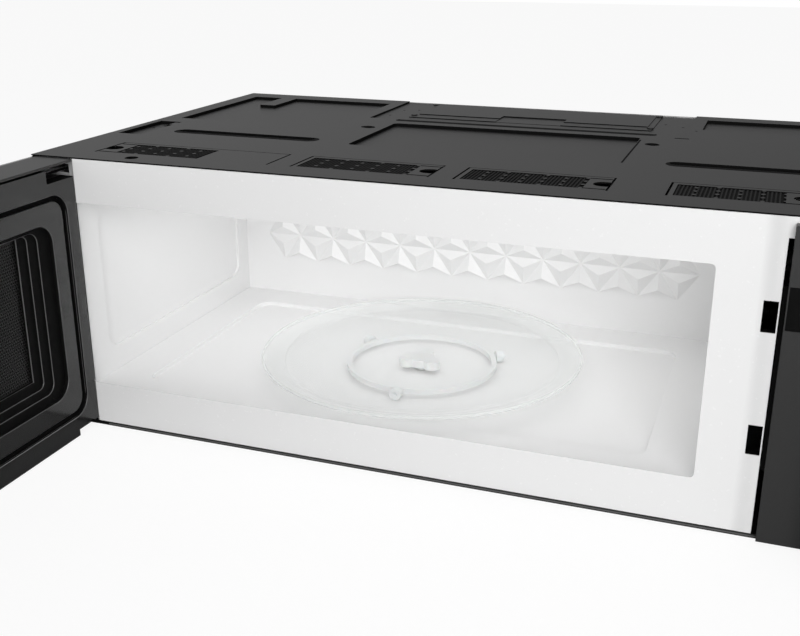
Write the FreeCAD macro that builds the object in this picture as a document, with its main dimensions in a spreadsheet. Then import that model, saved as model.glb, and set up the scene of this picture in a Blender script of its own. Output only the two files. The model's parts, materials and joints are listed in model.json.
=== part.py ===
import FreeCAD, Part
import os
import re

import Sketcher

# Over-the-range microwave oven, drawn in millimetres in cabinet coordinates:
# x from the left edge of the cabinet, y backwards from the white front plate,
# z up from the underside. A piece's Placement then carries it into the part's
# frame, whose origin is the middle of the face that lies against the wall.
# Door pieces are drawn shut, from the outer lower hinge-side corner of the
# door, and their Placement swings them open about the hinge pins.

SIZES = {
    # cabinet
    "cabinet_width": 752.0, "cabinet_depth": 427.6, "cabinet_height": 260.0,
    "sheet": 0.8, "cover_sheet": 1.0, "base_lip_height": 3.5, "frame_seam": 0.3,
    # cooking cavity and its front opening
    "opening_left": 37.8, "opening_from_right": 153.5, "opening_bottom": 43.8,
    "opening_from_top": 41.1, "opening_corner": 4.0,
    "cavity_floor_level": 39.2, "cavity_from_top": 38.0, "cavity_depth": 324.4,
    "floor_recess_depth": 4.0, "floor_recess_margin": 41.2,
    "floor_recess_front": 33.0, "floor_recess_length": 249.0, "floor_recess_corner": 14.0,
    "wall_recess_depth": 3.0, "wall_recess_front": 36.0, "wall_recess_length": 265.0,
    "wall_recess_bottom": 63.5, "wall_recess_from_top": 56.5, "wall_recess_corner": 16.0,
    # pressed pyramids across the back wall
    "pyramid_margin": 29.55, "pyramid_row_height": 30.1, "pyramid_rise": 5.0,
    "pyramid_count": 12, "pyramid_row_level": 111.3, "pyramid_foot": 1.5,
    # latch slots and the dark joint beside them
    "slot_from_opening": 35.5, "slot_width": 10.6, "slot_height": 24.6,
    "upper_slot_from_top": 89.3, "lower_slot_bottom": 71.3,
    "joint_from_slot": 1.0, "joint_slot_width": 3.9, "joint_slot_from_top": 17.0,
    # door and hinge
    "door_overhang": 2.0, "door_side_gap": 2.0, "door_thickness": 41.0,
    "door_gap": 0.5, "door_bottom": 1.2, "door_top_gap": 1.4, "door_corner": 2.0,
    "hinge_from_edge": 23.25, "hinge_from_inner_face": 22.0, "swing_clearance": 0.5,
    "door_open_angle": 90.0, "door_glass_thickness": 4.0,
    "window_left": 73.75, "window_from_free_edge": 123.5, "window_bottom": 69.8,
    "window_from_top": 59.2, "hinge_pin_radius": 3.5, "pin_clearance": 0.05,
    "hinge_plate_thickness": 3.0, "hinge_nose_radius": 7.0, "hinge_pin_length": 14.0,
    "upper_hinge_from_top": 14.0, "lower_hinge_level": 3.9, "hinge_bush_radius": 7.0,
    "upper_notch_width": 37.75, "upper_notch_height": 15.6,
    "lower_notch_width": 30.75, "lower_notch_height": 6.0, "notch_front_wall": 8.5,
    "door_lip_thickness": 30.5, "door_lip_clearance": 1.8, "cap_thickness": 2.2,
    "cap_gap": 2.0,
    "choke_cover_thickness": 13.4, "choke_step": 2.0, "screen_thickness": 0.6,
    "film_thickness": 1.0,
    # control side
    "ledge_width": 40.5, "ledge_depth": 9.5,
    "ledge_bottom": 3.0, "ledge_from_top": 5.6, "panel_wall": 2.5,
    "control_glass_thickness": 4.0, "board_thickness": 1.6, "display_height": 30.0,
    # turntable
    "turntable_from_front": 160.0, "tray_radius": 159.0,
    "tray_glass": 3.5, "tray_rim_rise": 8.0, "tray_base_level": 47.5,
    "tray_track_radius": 138.0, "tray_rim_width": 10.0, "roller_circle_radius": 81.0,
    "roller_width": 8.0, "roller_clearance": 0.3, "roller_axle_radius": 2.0,
    "turntable_motor_radius": 25.0, "turntable_motor_height": 20.0,
    "drive_stem_radius": 4.0,
    # top cover
    "recess_depth": 3.3, "bead_depth": 2.3, "rear_step": 2.0, "vent_gap": 12.0,
    "vent_width": 132.0, "vent_front": 30.5, "vent_length": 48.5,
    "plate_width": 262.0, "plate_length": 98.0, "plate_from_back": 3.6,
    "plate_lap": 5.0, "hanger_from_recess": 16.0, "hanger_from_front": 239.0,
    "hanger_bore_radius": 3.2, "hanger_hole_radius": 6.0,
    # exhaust blower
    "blower_wheel_radius": 42.0, "blower_wheel_width": 56.0, "blower_from_top": 94.0,
    "blower_shaft_radius": 4.0, "blower_motor_radius": 38.0, "blower_motor_length": 80.0,
    "blower_wall": 1.2,
    # high-voltage bay
    "guide_depth": 28.0, "guide_width": 100.0, "guide_front": 120.0,
    "guide_bottom": 96.0, "antenna_radius": 7.0, "fan_radius": 45.0,
    "fan_plate_back": 262.0, "fan_from_top": 110.0, "fan_shaft_radius": 2.5,
    # underside
    "filter_from_wall": 32.35, "filter_length": 140.0, "filter_thickness": 8.0,
    "filter_gap": 56.0, "filter_front": 200.0, "filter_lap": 4.0,
    "lamp_from_side": 150.0, "lamp_front": 64.0, "lamp_width": 54.0, "lamp_length": 26.0,
    # pressed features of the top cover, left half or mirrored
    "side_recess_left": 19.0, "side_recess_width": 176.0, "side_recess_front": 225.0,
    "side_recess_back": 400.0, "tongue_left": 54.0, "tongue_width": 19.0,
    "tongue_front": 342.0, "right_recess_front": 340.0, "right_recess_width": 177.0,
    "right_recess_length": 63.0, "centre_recess_width": 255.0, "centre_recess_front": 142.0,
    "centre_recess_length": 130.0, "recess_corner": 5.0, "rear_area_width": 333.0,
    "rear_area_front": 298.0, "bead_left": 59.0, "bead_length": 149.0, "bead_middle": 157.0,
    "bead_radius": 6.0, "pocket_left": 9.0, "pocket_width": 25.0, "pocket_front": 122.0,
    "pocket_length": 79.0, "side_vent_left": 50.0, "right_vent_from_right": 193.0,
    "side_vent_columns": 7, "grille_columns": 6, "vent_pitch": 15.0, "vent_slot_length": 8.0,
    "vent_slot_width": 5.0, "vent_line_pitch": 11.0, "vent_first_line": 10.0,
    "finger_hole_from_end": 22.0, "finger_hole_width": 9.0, "finger_hole_length": 12.0,
    "plate_tab_left": 97.0, "plate_tab_width": 70.0, "plate_tab_length": 35.0,
    "plate_screw_inset": 10.0, "screw_radius": 1.5, "screw_head_radius": 3.5,
    "tooling_hole_radius": 1.4, "front_hole_left": 94.5, "front_hole_depth": 16.4,
    "hanger_nut_radius": 9.0, "hanger_nut_height": 12.0, "charcoal_thickness": 14.0,
    "cord_from_right": 62.0, "cord_from_front": 372.0, "cord_radius": 5.0,
    "bushing_neck_radius": 10.8, "bushing_flange_radius": 14.0,
    # wall plate slots
    "hook_slot_width": 30.0, "hook_slot_height": 8.0, "lower_hook_level": 14.0,
    "upper_hook_level": 60.0,
    # door handle and latch
    "handle_width": 15.0, "handle_thickness": 11.0, "handle_from_ends": 18.0,
    "handle_reach": 27.0, "handle_from_free_edge": 14.0, "latch_travel": 5.0,
    "slide_gap": 0.3, "hook_length": 12.0,
}

# Sizes that follow from the ones above, so that a changed cabinet stays whole.
FOLLOWING = {
    "opening_width": "cabinet_width - opening_left - opening_from_right",
    "opening_height": "cabinet_height - opening_bottom - opening_from_top",
    "cavity_height": "cabinet_height - cavity_floor_level - cavity_from_top",
    "floor_recess_left": "opening_left + floor_recess_margin",
    "floor_recess_width": "opening_width - 2 * floor_recess_margin - 1.3",
    "wall_recess_height": "cabinet_height - wall_recess_bottom - wall_recess_from_top",
    "pyramid_pitch": "(opening_width - 2 * pyramid_margin) / pyramid_count",
    "slot_left": "opening_left + opening_width + slot_from_opening",
    "upper_slot_bottom": "cabinet_height - upper_slot_from_top",
    "joint_slot_left": "slot_left + slot_width + joint_from_slot",
    "joint_slot_top": "cabinet_height - joint_slot_from_top",
    "ledge_left": "joint_slot_left + joint_slot_width",
    "ledge_height": "cabinet_height - ledge_bottom - ledge_from_top",
    "door_width": "ledge_left + ledge_width + door_overhang - door_side_gap",
    "window_width": "door_width - window_left - window_from_free_edge",
    "window_height": "cabinet_height - window_bottom - window_from_top",
    "upper_hinge_level": "cabinet_height - upper_hinge_from_top",
    "hanger_spacing": "centre_recess_width + 2 * hanger_from_recess",
    "vent_left": "(cabinet_width - vent_gap) / 2 - vent_width",
    "blower_level": "cabinet_height - blower_from_top",
    "fan_level": "cabinet_height - fan_from_top",
    "filter_width": "(opening_width - filter_gap) / 2 - filter_from_wall",
    "handle_height": "cabinet_height - 2 * handle_from_ends",
}

document = FreeCAD.newDocument("over_range_microwave")
sizes = document.addObject("Spreadsheet::Sheet", "sizes")
for row, (alias, value) in enumerate(SIZES.items(), start=1):
    sizes.set(f"A{row}", alias)
    sizes.set(f"B{row}", str(value))
    sizes.setAlias(f"B{row}", alias)
document.recompute()


def linked(text):
    """An expression text with each size's name pointed at the spreadsheet."""
    def point(match):
        word = match[0]
        if word in FOLLOWING:
            return f"({linked(FOLLOWING[word])})"
        return f"sizes.{word}" if word in SIZES else word
    return re.sub(r"[a-z_]+", point, text)


def number(text):
    """The present value of an expression."""
    return float(sizes.evalExpression(linked(text)))


def total(*texts):
    return " + ".join(f"({text})" for text in texts)


def bind(thing, **sizes_by_name):
    for name, text in sizes_by_name.items():
        thing.setExpression(name.replace("__", "."), linked(text))


# ---------------------------------------------------------------- derived sizes
half_width = "cabinet_width / 2"
cover_under = "cabinet_height - cover_sheet"
frame_bottom = "base_lip_height + frame_seam"
frame_height = f"{cover_under} - frame_seam - ({frame_bottom})"
opening_right = "opening_left + opening_width"
cavity_ceiling = "cavity_floor_level + cavity_height"
hinge_x = "hinge_from_edge - door_overhang"
hinge_y = "-(door_gap + hinge_from_inner_face)"
swing_radius = ("sqrt((hinge_from_edge - door_corner)^2 + (hinge_from_inner_face - door_corner)^2)"
                " + door_corner + swing_clearance")
relief_depth = f"{swing_radius} + ({hinge_y})"
relief_back = f"{relief_depth} + sheet"
turntable_x = "opening_left + opening_width / 2"
turntable_y = "turntable_from_front"
recess_floor = "cavity_floor_level - floor_recess_depth"
right_bay = f"{opening_right} + sheet"
inner_right = "cabinet_width - sheet"
door_height = "cabinet_height - door_top_gap - door_bottom"
control_left = "ledge_left + ledge_width"
control_right = "cabinet_width + door_overhang"
plate_left = "(cabinet_width - plate_width) / 2"
plate_front = "cabinet_depth - plate_from_back - plate_length"
rear_top = "cabinet_height - rear_step"


# ---------------------------------------------------------------- building helpers
def place(piece, x="0", y="0", z="0", door=False):
    """Put a piece drawn in cabinet (or shut door) coordinates into the part's frame."""
    if not door:
        bind(piece, Placement__Base__x=total(x, f"-{half_width}"),
             Placement__Base__y=total(y, "-cabinet_depth"),
             Placement__Base__z=total(z, "-cabinet_height / 2"))
        return piece
    along = f"({x}) - hinge_from_edge"
    across = f"({y}) - (door_thickness - hinge_from_inner_face)"
    turn = "door_open_angle * 1deg"
    bind(piece,
         Placement__Base__x=total(f"cos({turn}) * ({along}) + sin({turn}) * ({across})",
                                  hinge_x, f"-{half_width}"),
         Placement__Base__y=total(f"cos({turn}) * ({across}) - sin({turn}) * ({along})",
                                  hinge_y, "-cabinet_depth"),
         Placement__Base__z=total(z, "door_bottom - cabinet_height / 2"),
         Placement__Rotation__Angle="-door_open_angle")
    return piece


NODES = []


def node(piece, label, at=("0", "0", "0"), door=False):
    """Name a finished piece and place it, a plain primitive by its own start point."""
    piece.Label = label
    NODES.append(piece)
    return place(piece, *at, door=door)


def unique(kind, name):
    return document.addObject(kind, name)


def box(x, y, z, length, width, height):
    piece = unique("Part::Box", "box")
    bind(piece, Length=length, Width=width, Height=height,
         Placement__Base__x=x, Placement__Base__y=y, Placement__Base__z=z)
    return piece


TURNS = {"x": ((0, 1, 0), 90), "y": ((1, 0, 0), -90), "z": ((0, 0, 1), 0)}


def rod(x, y, z, radius, length, axis="z"):
    """A cylinder that starts at a point and runs along plus x, y or z."""
    piece = unique("Part::Cylinder", "rod")
    direction, angle = TURNS[axis]
    piece.Placement = FreeCAD.Placement(FreeCAD.Vector(),
                                        FreeCAD.Rotation(FreeCAD.Vector(*direction), angle))
    bind(piece, Radius=radius, Height=length,
         Placement__Base__x=x, Placement__Base__y=y, Placement__Base__z=z)
    return piece


def joined(*pieces):
    if len(pieces) == 1:
        return pieces[0]
    piece = unique("Part::MultiFuse", "joined")
    piece.Shapes = list(pieces)
    piece.Refine = True
    return piece


def less(base, *tools):
    piece = unique("Part::Cut", "less")
    piece.Base = base
    piece.Tool = joined(*tools)
    piece.Refine = True
    return piece


def shared(first, second):
    piece = unique("Part::Common", "shared")
    piece.Base = first
    piece.Tool = second
    return piece


def group(*pieces):
    """Separate solids that share one node, such as a set of like screws."""
    piece = unique("Part::Compound", "group")
    piece.Links = list(pieces)
    return piece


PLANES = {"x": "YZ_Plane", "y": "XZ_Plane", "z": "XY_Plane"}


def sketch_on(body, axis):
    sketch = body.newObject("Sketcher::SketchObject", "outline")
    role = PLANES[axis]
    plane = [part for part in body.Origin.OriginFeatures if part.Role == role][0]
    sketch.AttachmentSupport = [(plane, "")]
    sketch.MapMode = "FlatFace"
    return sketch


def draw_outline(sketch, corners):
    """A closed outline of straight lines, each corner tied to its two expressions."""
    points = [FreeCAD.Vector(number(u), number(v), 0) for u, v in corners]
    for index, point in enumerate(points):
        following = points[(index + 1) % len(points)]
        sketch.addGeometry(Part.LineSegment(point, following), False)
    for index in range(len(points)):
        after = (index + 1) % len(points)
        sketch.addConstraint(Sketcher.Constraint("Coincident", index, 2, after, 1))
    for index, (u, v) in enumerate(corners):
        for kind, text in (("DistanceX", u), ("DistanceY", v)):
            at = sketch.addConstraint(Sketcher.Constraint(kind, -1, 1, index, 1, number(text)))
            sketch.setExpression(f"Constraints[{at}]", linked(text))


def slab(axis, corners, start, thickness, radius=None):
    """An outline of (u, v) corners padded along x, y or z, with rounded corners on request.

    Across x the outline is read as (y, z), across y as (x, z) and across z as (x, y).
    """
    body = unique("PartDesign::Body", "slab")
    sketch = sketch_on(body, axis)
    draw_outline(sketch, corners)
    pad = body.newObject("PartDesign::Pad", "thickness")
    pad.Profile = sketch
    pad.Reversed = axis == "y"
    bind(pad, Length=thickness)
    document.recompute()
    if radius:
        along = {"x": FreeCAD.Vector(1, 0, 0), "y": FreeCAD.Vector(0, 1, 0),
                 "z": FreeCAD.Vector(0, 0, 1)}[axis]
        upright = [f"Edge{i}" for i, edge in enumerate(pad.Shape.Edges, start=1)
                   if abs(edge.tangentAt(edge.FirstParameter).dot(along)) > 0.999]
        fillet = body.newObject("PartDesign::Fillet", "rounding")
        fillet.Base = (pad, upright)
        bind(fillet, Radius=radius)
    bind(body, **{f"Placement__Base__{axis}": start})
    document.recompute()
    return body


def rounded(axis, u, v, start, along, across, thickness, radius):
    """A rounded rectangular slab from its low corner, its two sides and its thickness."""
    right, top = total(u, along), total(v, across)
    return slab(axis, [(u, v), (right, v), (right, top), (u, top)], start, thickness, radius)


# ---------------------------------------------------------------- front plate
# One white sheet closes the cabinet front. It carries the cavity opening, two
# latch slots and a hollow down its left side that clears the door's corner.
flat_front = box("sheet + frame_seam", "0", frame_bottom,
                 "cabinet_width - 2 * (sheet + frame_seam)", "sheet", frame_height)
hollow_skin = shared(
    joined(rod(hinge_x, hinge_y, frame_bottom, f"{swing_radius} + sheet", frame_height),
           box("sheet + frame_seam", "0", frame_bottom,
               total(hinge_x, "-sheet - frame_seam"), relief_back, frame_height)),
    box("sheet + frame_seam", "0", frame_bottom, total(hinge_x, swing_radius),
        relief_back, frame_height))
door_swing = joined(rod(hinge_x, hinge_y, "0", swing_radius, "cabinet_height"),
                    box("-door_overhang", hinge_y, "0", total(hinge_x, "door_overhang"),
                        total(relief_depth, f"-({hinge_y})"), "cabinet_height"))
front_opening = rounded("y", "opening_left", "opening_bottom", hinge_y, "opening_width",
                        "opening_height", "cabinet_depth / 4", "opening_corner")
slot_bottoms = ("upper_slot_bottom", "lower_slot_bottom")
latch_slots = [box("slot_left", "-sheet", bottom, "slot_width", "3 * sheet", "slot_height")
               for bottom in slot_bottoms]
dark_joint = box("joint_slot_left", "-sheet", frame_bottom, "joint_slot_width", "3 * sheet",
                 f"joint_slot_top - ({frame_bottom})")


def hinge_plate(level, grow="0"):
    """The flat tongue of a hinge bracket, round at the pin and square at the frame."""
    radius = total("hinge_nose_radius", grow)
    start, height = total(level, f"-({grow})"), total("hinge_plate_thickness", f"2 * ({grow})")
    reach = total(relief_back, "hinge_plate_thickness", f"-({hinge_y})")
    return joined(rod(hinge_x, hinge_y, start, radius, height),
                  box(total(hinge_x, f"-({radius})"), hinge_y, start, f"2 * ({radius})", reach,
                      height))


frame_holes = [front_opening, *latch_slots, dark_joint,
               hinge_plate("upper_hinge_level", "frame_seam"),
               hinge_plate("lower_hinge_level", "frame_seam")]
front_frame = less(joined(flat_front, hollow_skin), door_swing, *frame_holes)
node(front_frame, "front_frame")


# ---------------------------------------------------------------- cavity
def cavity_plate(level):
    """The floor or ceiling sheet, notched at the front left to pass the door hollow."""
    notch_x, notch_y = total(hinge_x, swing_radius, "sheet"), total(relief_depth, "-sheet")
    corners = [(notch_x, "sheet"), (opening_right, "sheet"), (opening_right, "cavity_depth"),
               ("opening_left", "cavity_depth"), ("opening_left", notch_y),
               (notch_x, notch_y)]
    return slab("z", corners, level, "sheet")


floor_recess_outer = rounded(
    "z", "floor_recess_left - sheet", "floor_recess_front - sheet", f"{recess_floor} - sheet",
    "floor_recess_width + 2 * sheet", "floor_recess_length + 2 * sheet",
    "floor_recess_depth + sheet", "floor_recess_corner + sheet")
floor_recess_inner = rounded(
    "z", "floor_recess_left", "floor_recess_front", recess_floor, "floor_recess_width",
    "floor_recess_length", "floor_recess_depth + sheet", "floor_recess_corner")
motor_hole = rod(turntable_x, turntable_y, f"{recess_floor} - 2 * sheet",
                 "drive_stem_radius * 2", "4 * sheet")
node(less(joined(cavity_plate("cavity_floor_level - sheet"), floor_recess_outer),
          floor_recess_inner, motor_hole), "cavity_floor")
node(cavity_plate(cavity_ceiling), "cavity_ceiling", at=("0", "0", cavity_ceiling))

left_wall = box("opening_left - sheet", total(relief_depth, "-sheet"),
                "cavity_floor_level - sheet", "sheet",
                f"cavity_depth - ({relief_depth}) + sheet", "cavity_height + 2 * sheet")
wall_recess_outer = rounded(
    "x", "wall_recess_front - sheet", "wall_recess_bottom - sheet",
    "opening_left - wall_recess_depth - sheet", "wall_recess_length + 2 * sheet",
    "wall_recess_height + 2 * sheet", "wall_recess_depth + sheet",
    "wall_recess_corner + sheet")
wall_recess_inner = rounded(
    "x", "wall_recess_front", "wall_recess_bottom", "opening_left - wall_recess_depth",
    "wall_recess_length", "wall_recess_height", "wall_recess_depth + sheet",
    "wall_recess_corner")
node(less(joined(left_wall, wall_recess_outer), wall_recess_inner), "cavity_left_wall")

mouth_inset = "10"
mouth_width = f"guide_width - 2 * {mouth_inset}"
guide_mouth = box(total(opening_right, "-sheet"), f"guide_front + {mouth_inset}",
                  f"guide_bottom + {mouth_inset}", "3 * sheet", mouth_width, mouth_width)
right_wall = box(opening_right, "sheet", "cavity_floor_level - sheet", "sheet",
                 "cavity_depth - sheet", "cavity_height + 2 * sheet")
node(less(right_wall, guide_mouth), "cavity_right_wall")


def facet(*points):
    return Part.Face(Part.makePolygon([*points, points[0]]))


def pyramid_wall():
    """The back sheet with a band of pressed three-sided pyramids across it.

    Corners of the triangles lie in the wall's plane and each triangle's middle
    stands forward of it. The triangles above the row mirror those below.
    """
    pitch, row = number("pyramid_pitch"), number("pyramid_row_height")
    rise, foot = number("pyramid_rise"), number("pyramid_foot")
    count, level = int(number("pyramid_count")), number("pyramid_row_level")
    left, right = number("opening_left - sheet"), number(f"{opening_right} + sheet")
    bottom, top = number("cavity_floor_level - sheet"), number(f"{cavity_ceiling} + sheet")
    wall = number("cavity_depth")
    first = (left + right - pitch * count) / 2

    def point(x, z, forward=0.0):
        return FreeCAD.Vector(x, wall - forward, z)

    faces, border = [], []
    for side in (-1, 1):
        edge = []
        for index in range(count):
            near, far = first + pitch * index, first + pitch * (index + 1)
            a, b = point(near, level), point(far, level)
            tip = point((near + far) / 2, level + side * row)
            crown = point((near + far) / 2, level + side * row / 3, rise)
            faces += [facet(a, b, crown), facet(b, tip, crown), facet(tip, a, crown)]
            edge.append(tip)
            if index < count - 1:
                next_tip = point(far + pitch / 2, level + side * row)
                ridge = point(far, level + side * row * 2 / 3, rise)
                hem = point(far, level + side * (row * 2 / 3 + foot))
                faces += [facet(tip, b, ridge), facet(b, next_tip, ridge),
                          facet(tip, ridge, hem), facet(ridge, next_tip, hem)]
                edge.append(hem)
        border.append(edge)
    loop = [point(first, level), *border[0], point(first + pitch * count, level),
            *reversed(border[1])]
    front = Part.makePolygon([point(left, bottom), point(right, bottom), point(right, top),
                              point(left, top), point(left, bottom)])
    faces += Part.Face(front).cut(facet(*loop)).Faces
    back = Part.makeBox(right - left, number("sheet"), top - bottom,
                        FreeCAD.Vector(left, wall, bottom))
    faces += [face for face in back.Faces if face.CenterOfMass.y > wall + 1e-6]
    shell = Part.makeShell(faces)
    shell.sewShape()
    return Part.makeSolid(shell)


back_wall = unique("Part::Feature", "back_wall")
back_wall.Shape = pyramid_wall()
node(back_wall, "cavity_back_wall")

# ---------------------------------------------------------------- outer cabinet
left_panel_front = "2 * frame_seam + sheet"
node(box("0", "0", "0", "sheet", f"cabinet_depth - sheet - ({left_panel_front})",
         f"{cover_under} - sheet"), "left_side_panel", at=("0", left_panel_front, "sheet"))
node(box("0", "0", "0", "sheet", "cabinet_depth - sheet", f"{cover_under} - sheet"),
     "right_side_panel", at=(inner_right, "0", "sheet"))

# The back panel hangs on four hooks of a plate that is screwed to the wall.
hook_slots = [box(total(half_width, side, "-hook_slot_width / 2"), "cabinet_depth - 2 * sheet",
                  level, "hook_slot_width", "3 * sheet", "hook_slot_height")
              for side in ("-cabinet_width / 4", "cabinet_width / 4")
              for level in ("lower_hook_level", "upper_hook_level")]
node(less(box("0", "cabinet_depth - sheet", "sheet", "cabinet_width", "sheet",
              f"{cover_under} - sheet"), *hook_slots), "back_panel")

# ---------------------------------------------------------------- underside
filter_lefts = (f"{turntable_x} - filter_gap / 2 - filter_width",
                f"{turntable_x} + filter_gap / 2")
lamp_lefts = ("lamp_from_side - lamp_width / 2",
              "cabinet_width - lamp_from_side - lamp_width / 2")
filter_holes = [box(total(left, "filter_lap"), "filter_front + filter_lap", "-sheet",
                    "filter_width - 2 * filter_lap", "filter_length - 2 * filter_lap",
                    "3 * sheet") for left in filter_lefts]
lamp_holes = [box(left, "lamp_front", "-sheet", "lamp_width", "lamp_length", "3 * sheet")
              for left in lamp_lefts]
lip_left = total(hinge_x, swing_radius, "sheet")
base_lip = box(lip_left, "0", "0", f"{inner_right} - ({lip_left})", "sheet",
               "base_lip_height")
node(less(joined(box("0", "0", "0", "cabinet_width", "cabinet_depth", "sheet"), base_lip),
          *filter_holes, *lamp_holes), "base_pan")

node(group(*[box(left, "filter_front", "sheet", "filter_width", "filter_length",
                 "filter_thickness") for left in filter_lefts]), "grease_filters")
lens_flange, flange_thickness, lamp_body = "3", "1.5", "12"
lenses, lamps = [], []
for left in lamp_lefts:
    window = box(total(left, "slide_gap"), "lamp_front + slide_gap", "0",
                 "lamp_width - 2 * slide_gap", "lamp_length - 2 * slide_gap", "sheet")
    flange_box = (f"{left} - {lens_flange}", f"lamp_front - {lens_flange}")
    flange_sides = (f"lamp_width + 2 * {lens_flange}", f"lamp_length + 2 * {lens_flange}")
    lenses.append(joined(window, box(*flange_box, "sheet", *flange_sides, flange_thickness)))
    lamps.append(box(*flange_box, f"sheet + {flange_thickness}", *flange_sides, lamp_body))
node(group(*lenses), "cooktop_lamp_lenses")
node(group(*lamps), "cooktop_lamps")

# ---------------------------------------------------------------- top cover
# A dark sheet stiffened by pressed recesses and beads. Each recess is a tray
# of the same sheet that hangs below the cover's level.
recess_right, tongue_right = "side_recess_left + side_recess_width", "tongue_left + tongue_width"
left_recess = [("side_recess_left", "side_recess_front"), (recess_right, "side_recess_front"),
               (recess_right, "side_recess_back"), (tongue_right, "side_recess_back"),
               (tongue_right, "tongue_front"), ("tongue_left", "tongue_front"),
               ("tongue_left", "side_recess_back"), ("side_recess_left", "side_recess_back")]
right_recess_right = "cabinet_width - side_recess_left"
right_recess_left = f"{right_recess_right} - right_recess_width"
right_recess_back = "right_recess_front + right_recess_length"
right_recess = [(right_recess_left, "right_recess_front"),
                (right_recess_right, "right_recess_front"),
                (right_recess_right, right_recess_back), (right_recess_left, right_recess_back)]


def grown(corners, signs, amount):
    """The same outline moved outwards, each corner by its own two signs."""
    return [(f"{u} + {su} * {amount}", f"{v} + {sv} * {amount}")
            for (u, v), (su, sv) in zip(corners, signs)]


left_signs = [(-1, -1), (1, -1), (1, 1), (-1, 1), (-1, 1), (1, 1), (1, 1), (-1, 1)]
right_signs = [(-1, -1), (1, -1), (1, 1), (-1, 1)]
tray_top = "cabinet_height - recess_depth"
tray_under = f"{tray_top} - cover_sheet"
tray_thickness = "recess_depth + cover_sheet"
below, through = "cabinet_height / 2", "cabinet_height"
centre_left = "(cabinet_width - centre_recess_width) / 2"
rear_area_left = "(cabinet_width - rear_area_width) / 2"
rear_area_length = "cabinet_depth - rear_area_front"
bead_lefts = ("bead_left", "cabinet_width - bead_left - bead_length")


def bead(left, grow, start, thickness):
    """A long pressed groove with round ends."""
    radius = total("bead_radius", grow)
    return joined(rod(f"{left} + bead_radius", "bead_middle", start, radius, thickness),
                  rod(f"{left} + bead_length - bead_radius", "bead_middle", start, radius,
                      thickness),
                  box(f"{left} + bead_radius", f"bead_middle - ({radius})", start,
                      "bead_length - 2 * bead_radius", f"2 * ({radius})", thickness))


def centre_tray(grow, start, thickness):
    return rounded("z", f"{centre_left} - {grow}", f"centre_recess_front - {grow}", start,
                   f"centre_recess_width + 2 * {grow}", f"centre_recess_length + 2 * {grow}",
                   thickness, f"recess_corner + {grow}")


def side_pocket(grow, start, thickness):
    """The small pressed pocket beside the left edge."""
    return box(f"pocket_left - {grow}", f"pocket_front - {grow}", start,
               f"pocket_width + 2 * {grow}", f"pocket_length + 2 * {grow}", thickness)


cover_trays = joined(
    box("0", "0", cover_under, "cabinet_width", "cabinet_depth", "cover_sheet"),
    slab("z", grown(left_recess, left_signs, "cover_sheet"), tray_under, tray_thickness),
    slab("z", grown(right_recess, right_signs, "cover_sheet"), tray_under, tray_thickness),
    centre_tray("cover_sheet", tray_under, tray_thickness),
    side_pocket("cover_sheet", tray_under, tray_thickness),
    *[bead(left, "cover_sheet", f"{cover_under} - bead_depth", "bead_depth + cover_sheet")
      for left in bead_lefts],
    box(f"{rear_area_left} - cover_sheet", "rear_area_front - cover_sheet",
        f"{rear_top} - cover_sheet", "rear_area_width + 2 * cover_sheet",
        f"{rear_area_length} - sheet + cover_sheet", "rear_step + cover_sheet"))
vent_lefts = ("vent_left", "cabinet_width - vent_left - vent_width")
grille_openings = [box(f"{left} + plate_lap", "vent_front + plate_lap", below,
                       "vent_width - 2 * plate_lap", "vent_length - 2 * plate_lap", through)
                   for left in vent_lefts]


def vent_holes(left, columns, start, height):
    """Columns of three short slots."""
    return [box(f"{left} + {column} * vent_pitch",
                f"vent_front + vent_first_line + {line} * vent_line_pitch", start,
                "vent_slot_length", "vent_slot_width", height)
            for column in range(columns) for line in range(3)]


side_vents = []
for left in ("side_vent_left", "cabinet_width - right_vent_from_right"):
    side_vents += vent_holes(left, int(number("side_vent_columns")), below, through)
hanger_lefts = [f"{half_width} {side} hanger_spacing / 2" for side in "-+"]
hanger_holes = [rod(x, "hanger_from_front", below, "hanger_hole_radius", through)
                for x in hanger_lefts]
duct_hole = box(f"{plate_left} + plate_lap", f"{plate_front} + plate_lap", below,
                "plate_width - 2 * plate_lap", "plate_length - 2 * plate_lap", through)
plate_screw_spots = [(f"{plate_left} {sx}", f"{plate_front} {sy}")
                     for sx in ("+ plate_lap / 2", "+ plate_width - plate_lap / 2")
                     for sy in ("+ plate_screw_inset", "+ plate_length - plate_screw_inset")]
screw_hole_radius = "screw_radius + 0.1"
screw_holes = [rod(x, y, below, screw_hole_radius, through) for x, y in plate_screw_spots]
tooling_spots = [("220", "332"), ("223", "371"), ("239", "377"), ("516", "371"),
                 ("537", "305"), ("535", "359"), ("551", "329")]
tooling_holes = [rod(x, y, below, "tooling_hole_radius", through) for x, y in tooling_spots]
tooling_holes.append(rod("front_hole_left", "front_hole_depth", below, "hanger_hole_radius",
                         through))
cord_spot = ("cabinet_width - cord_from_right", "cord_from_front")
cord_hole = rod(*cord_spot, below, "bushing_neck_radius + 0.2", through)
top_cover = less(
    cover_trays,
    slab("z", left_recess, tray_top, tray_thickness),
    slab("z", right_recess, tray_top, tray_thickness),
    centre_tray("0", tray_top, tray_thickness),
    side_pocket("0", tray_top, tray_thickness),
    *[bead(left, "0", "cabinet_height - bead_depth", tray_thickness) for left in bead_lefts],
    box(rear_area_left, "rear_area_front", rear_top, "rear_area_width", rear_area_length,
        tray_thickness),
    *grille_openings, *side_vents, *hanger_holes, duct_hole, *screw_holes,
    *tooling_holes, cord_hole)
node(top_cover, "top_cover")


grille_first_slot, finger_hole_offset = "11", "1.75"


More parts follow.
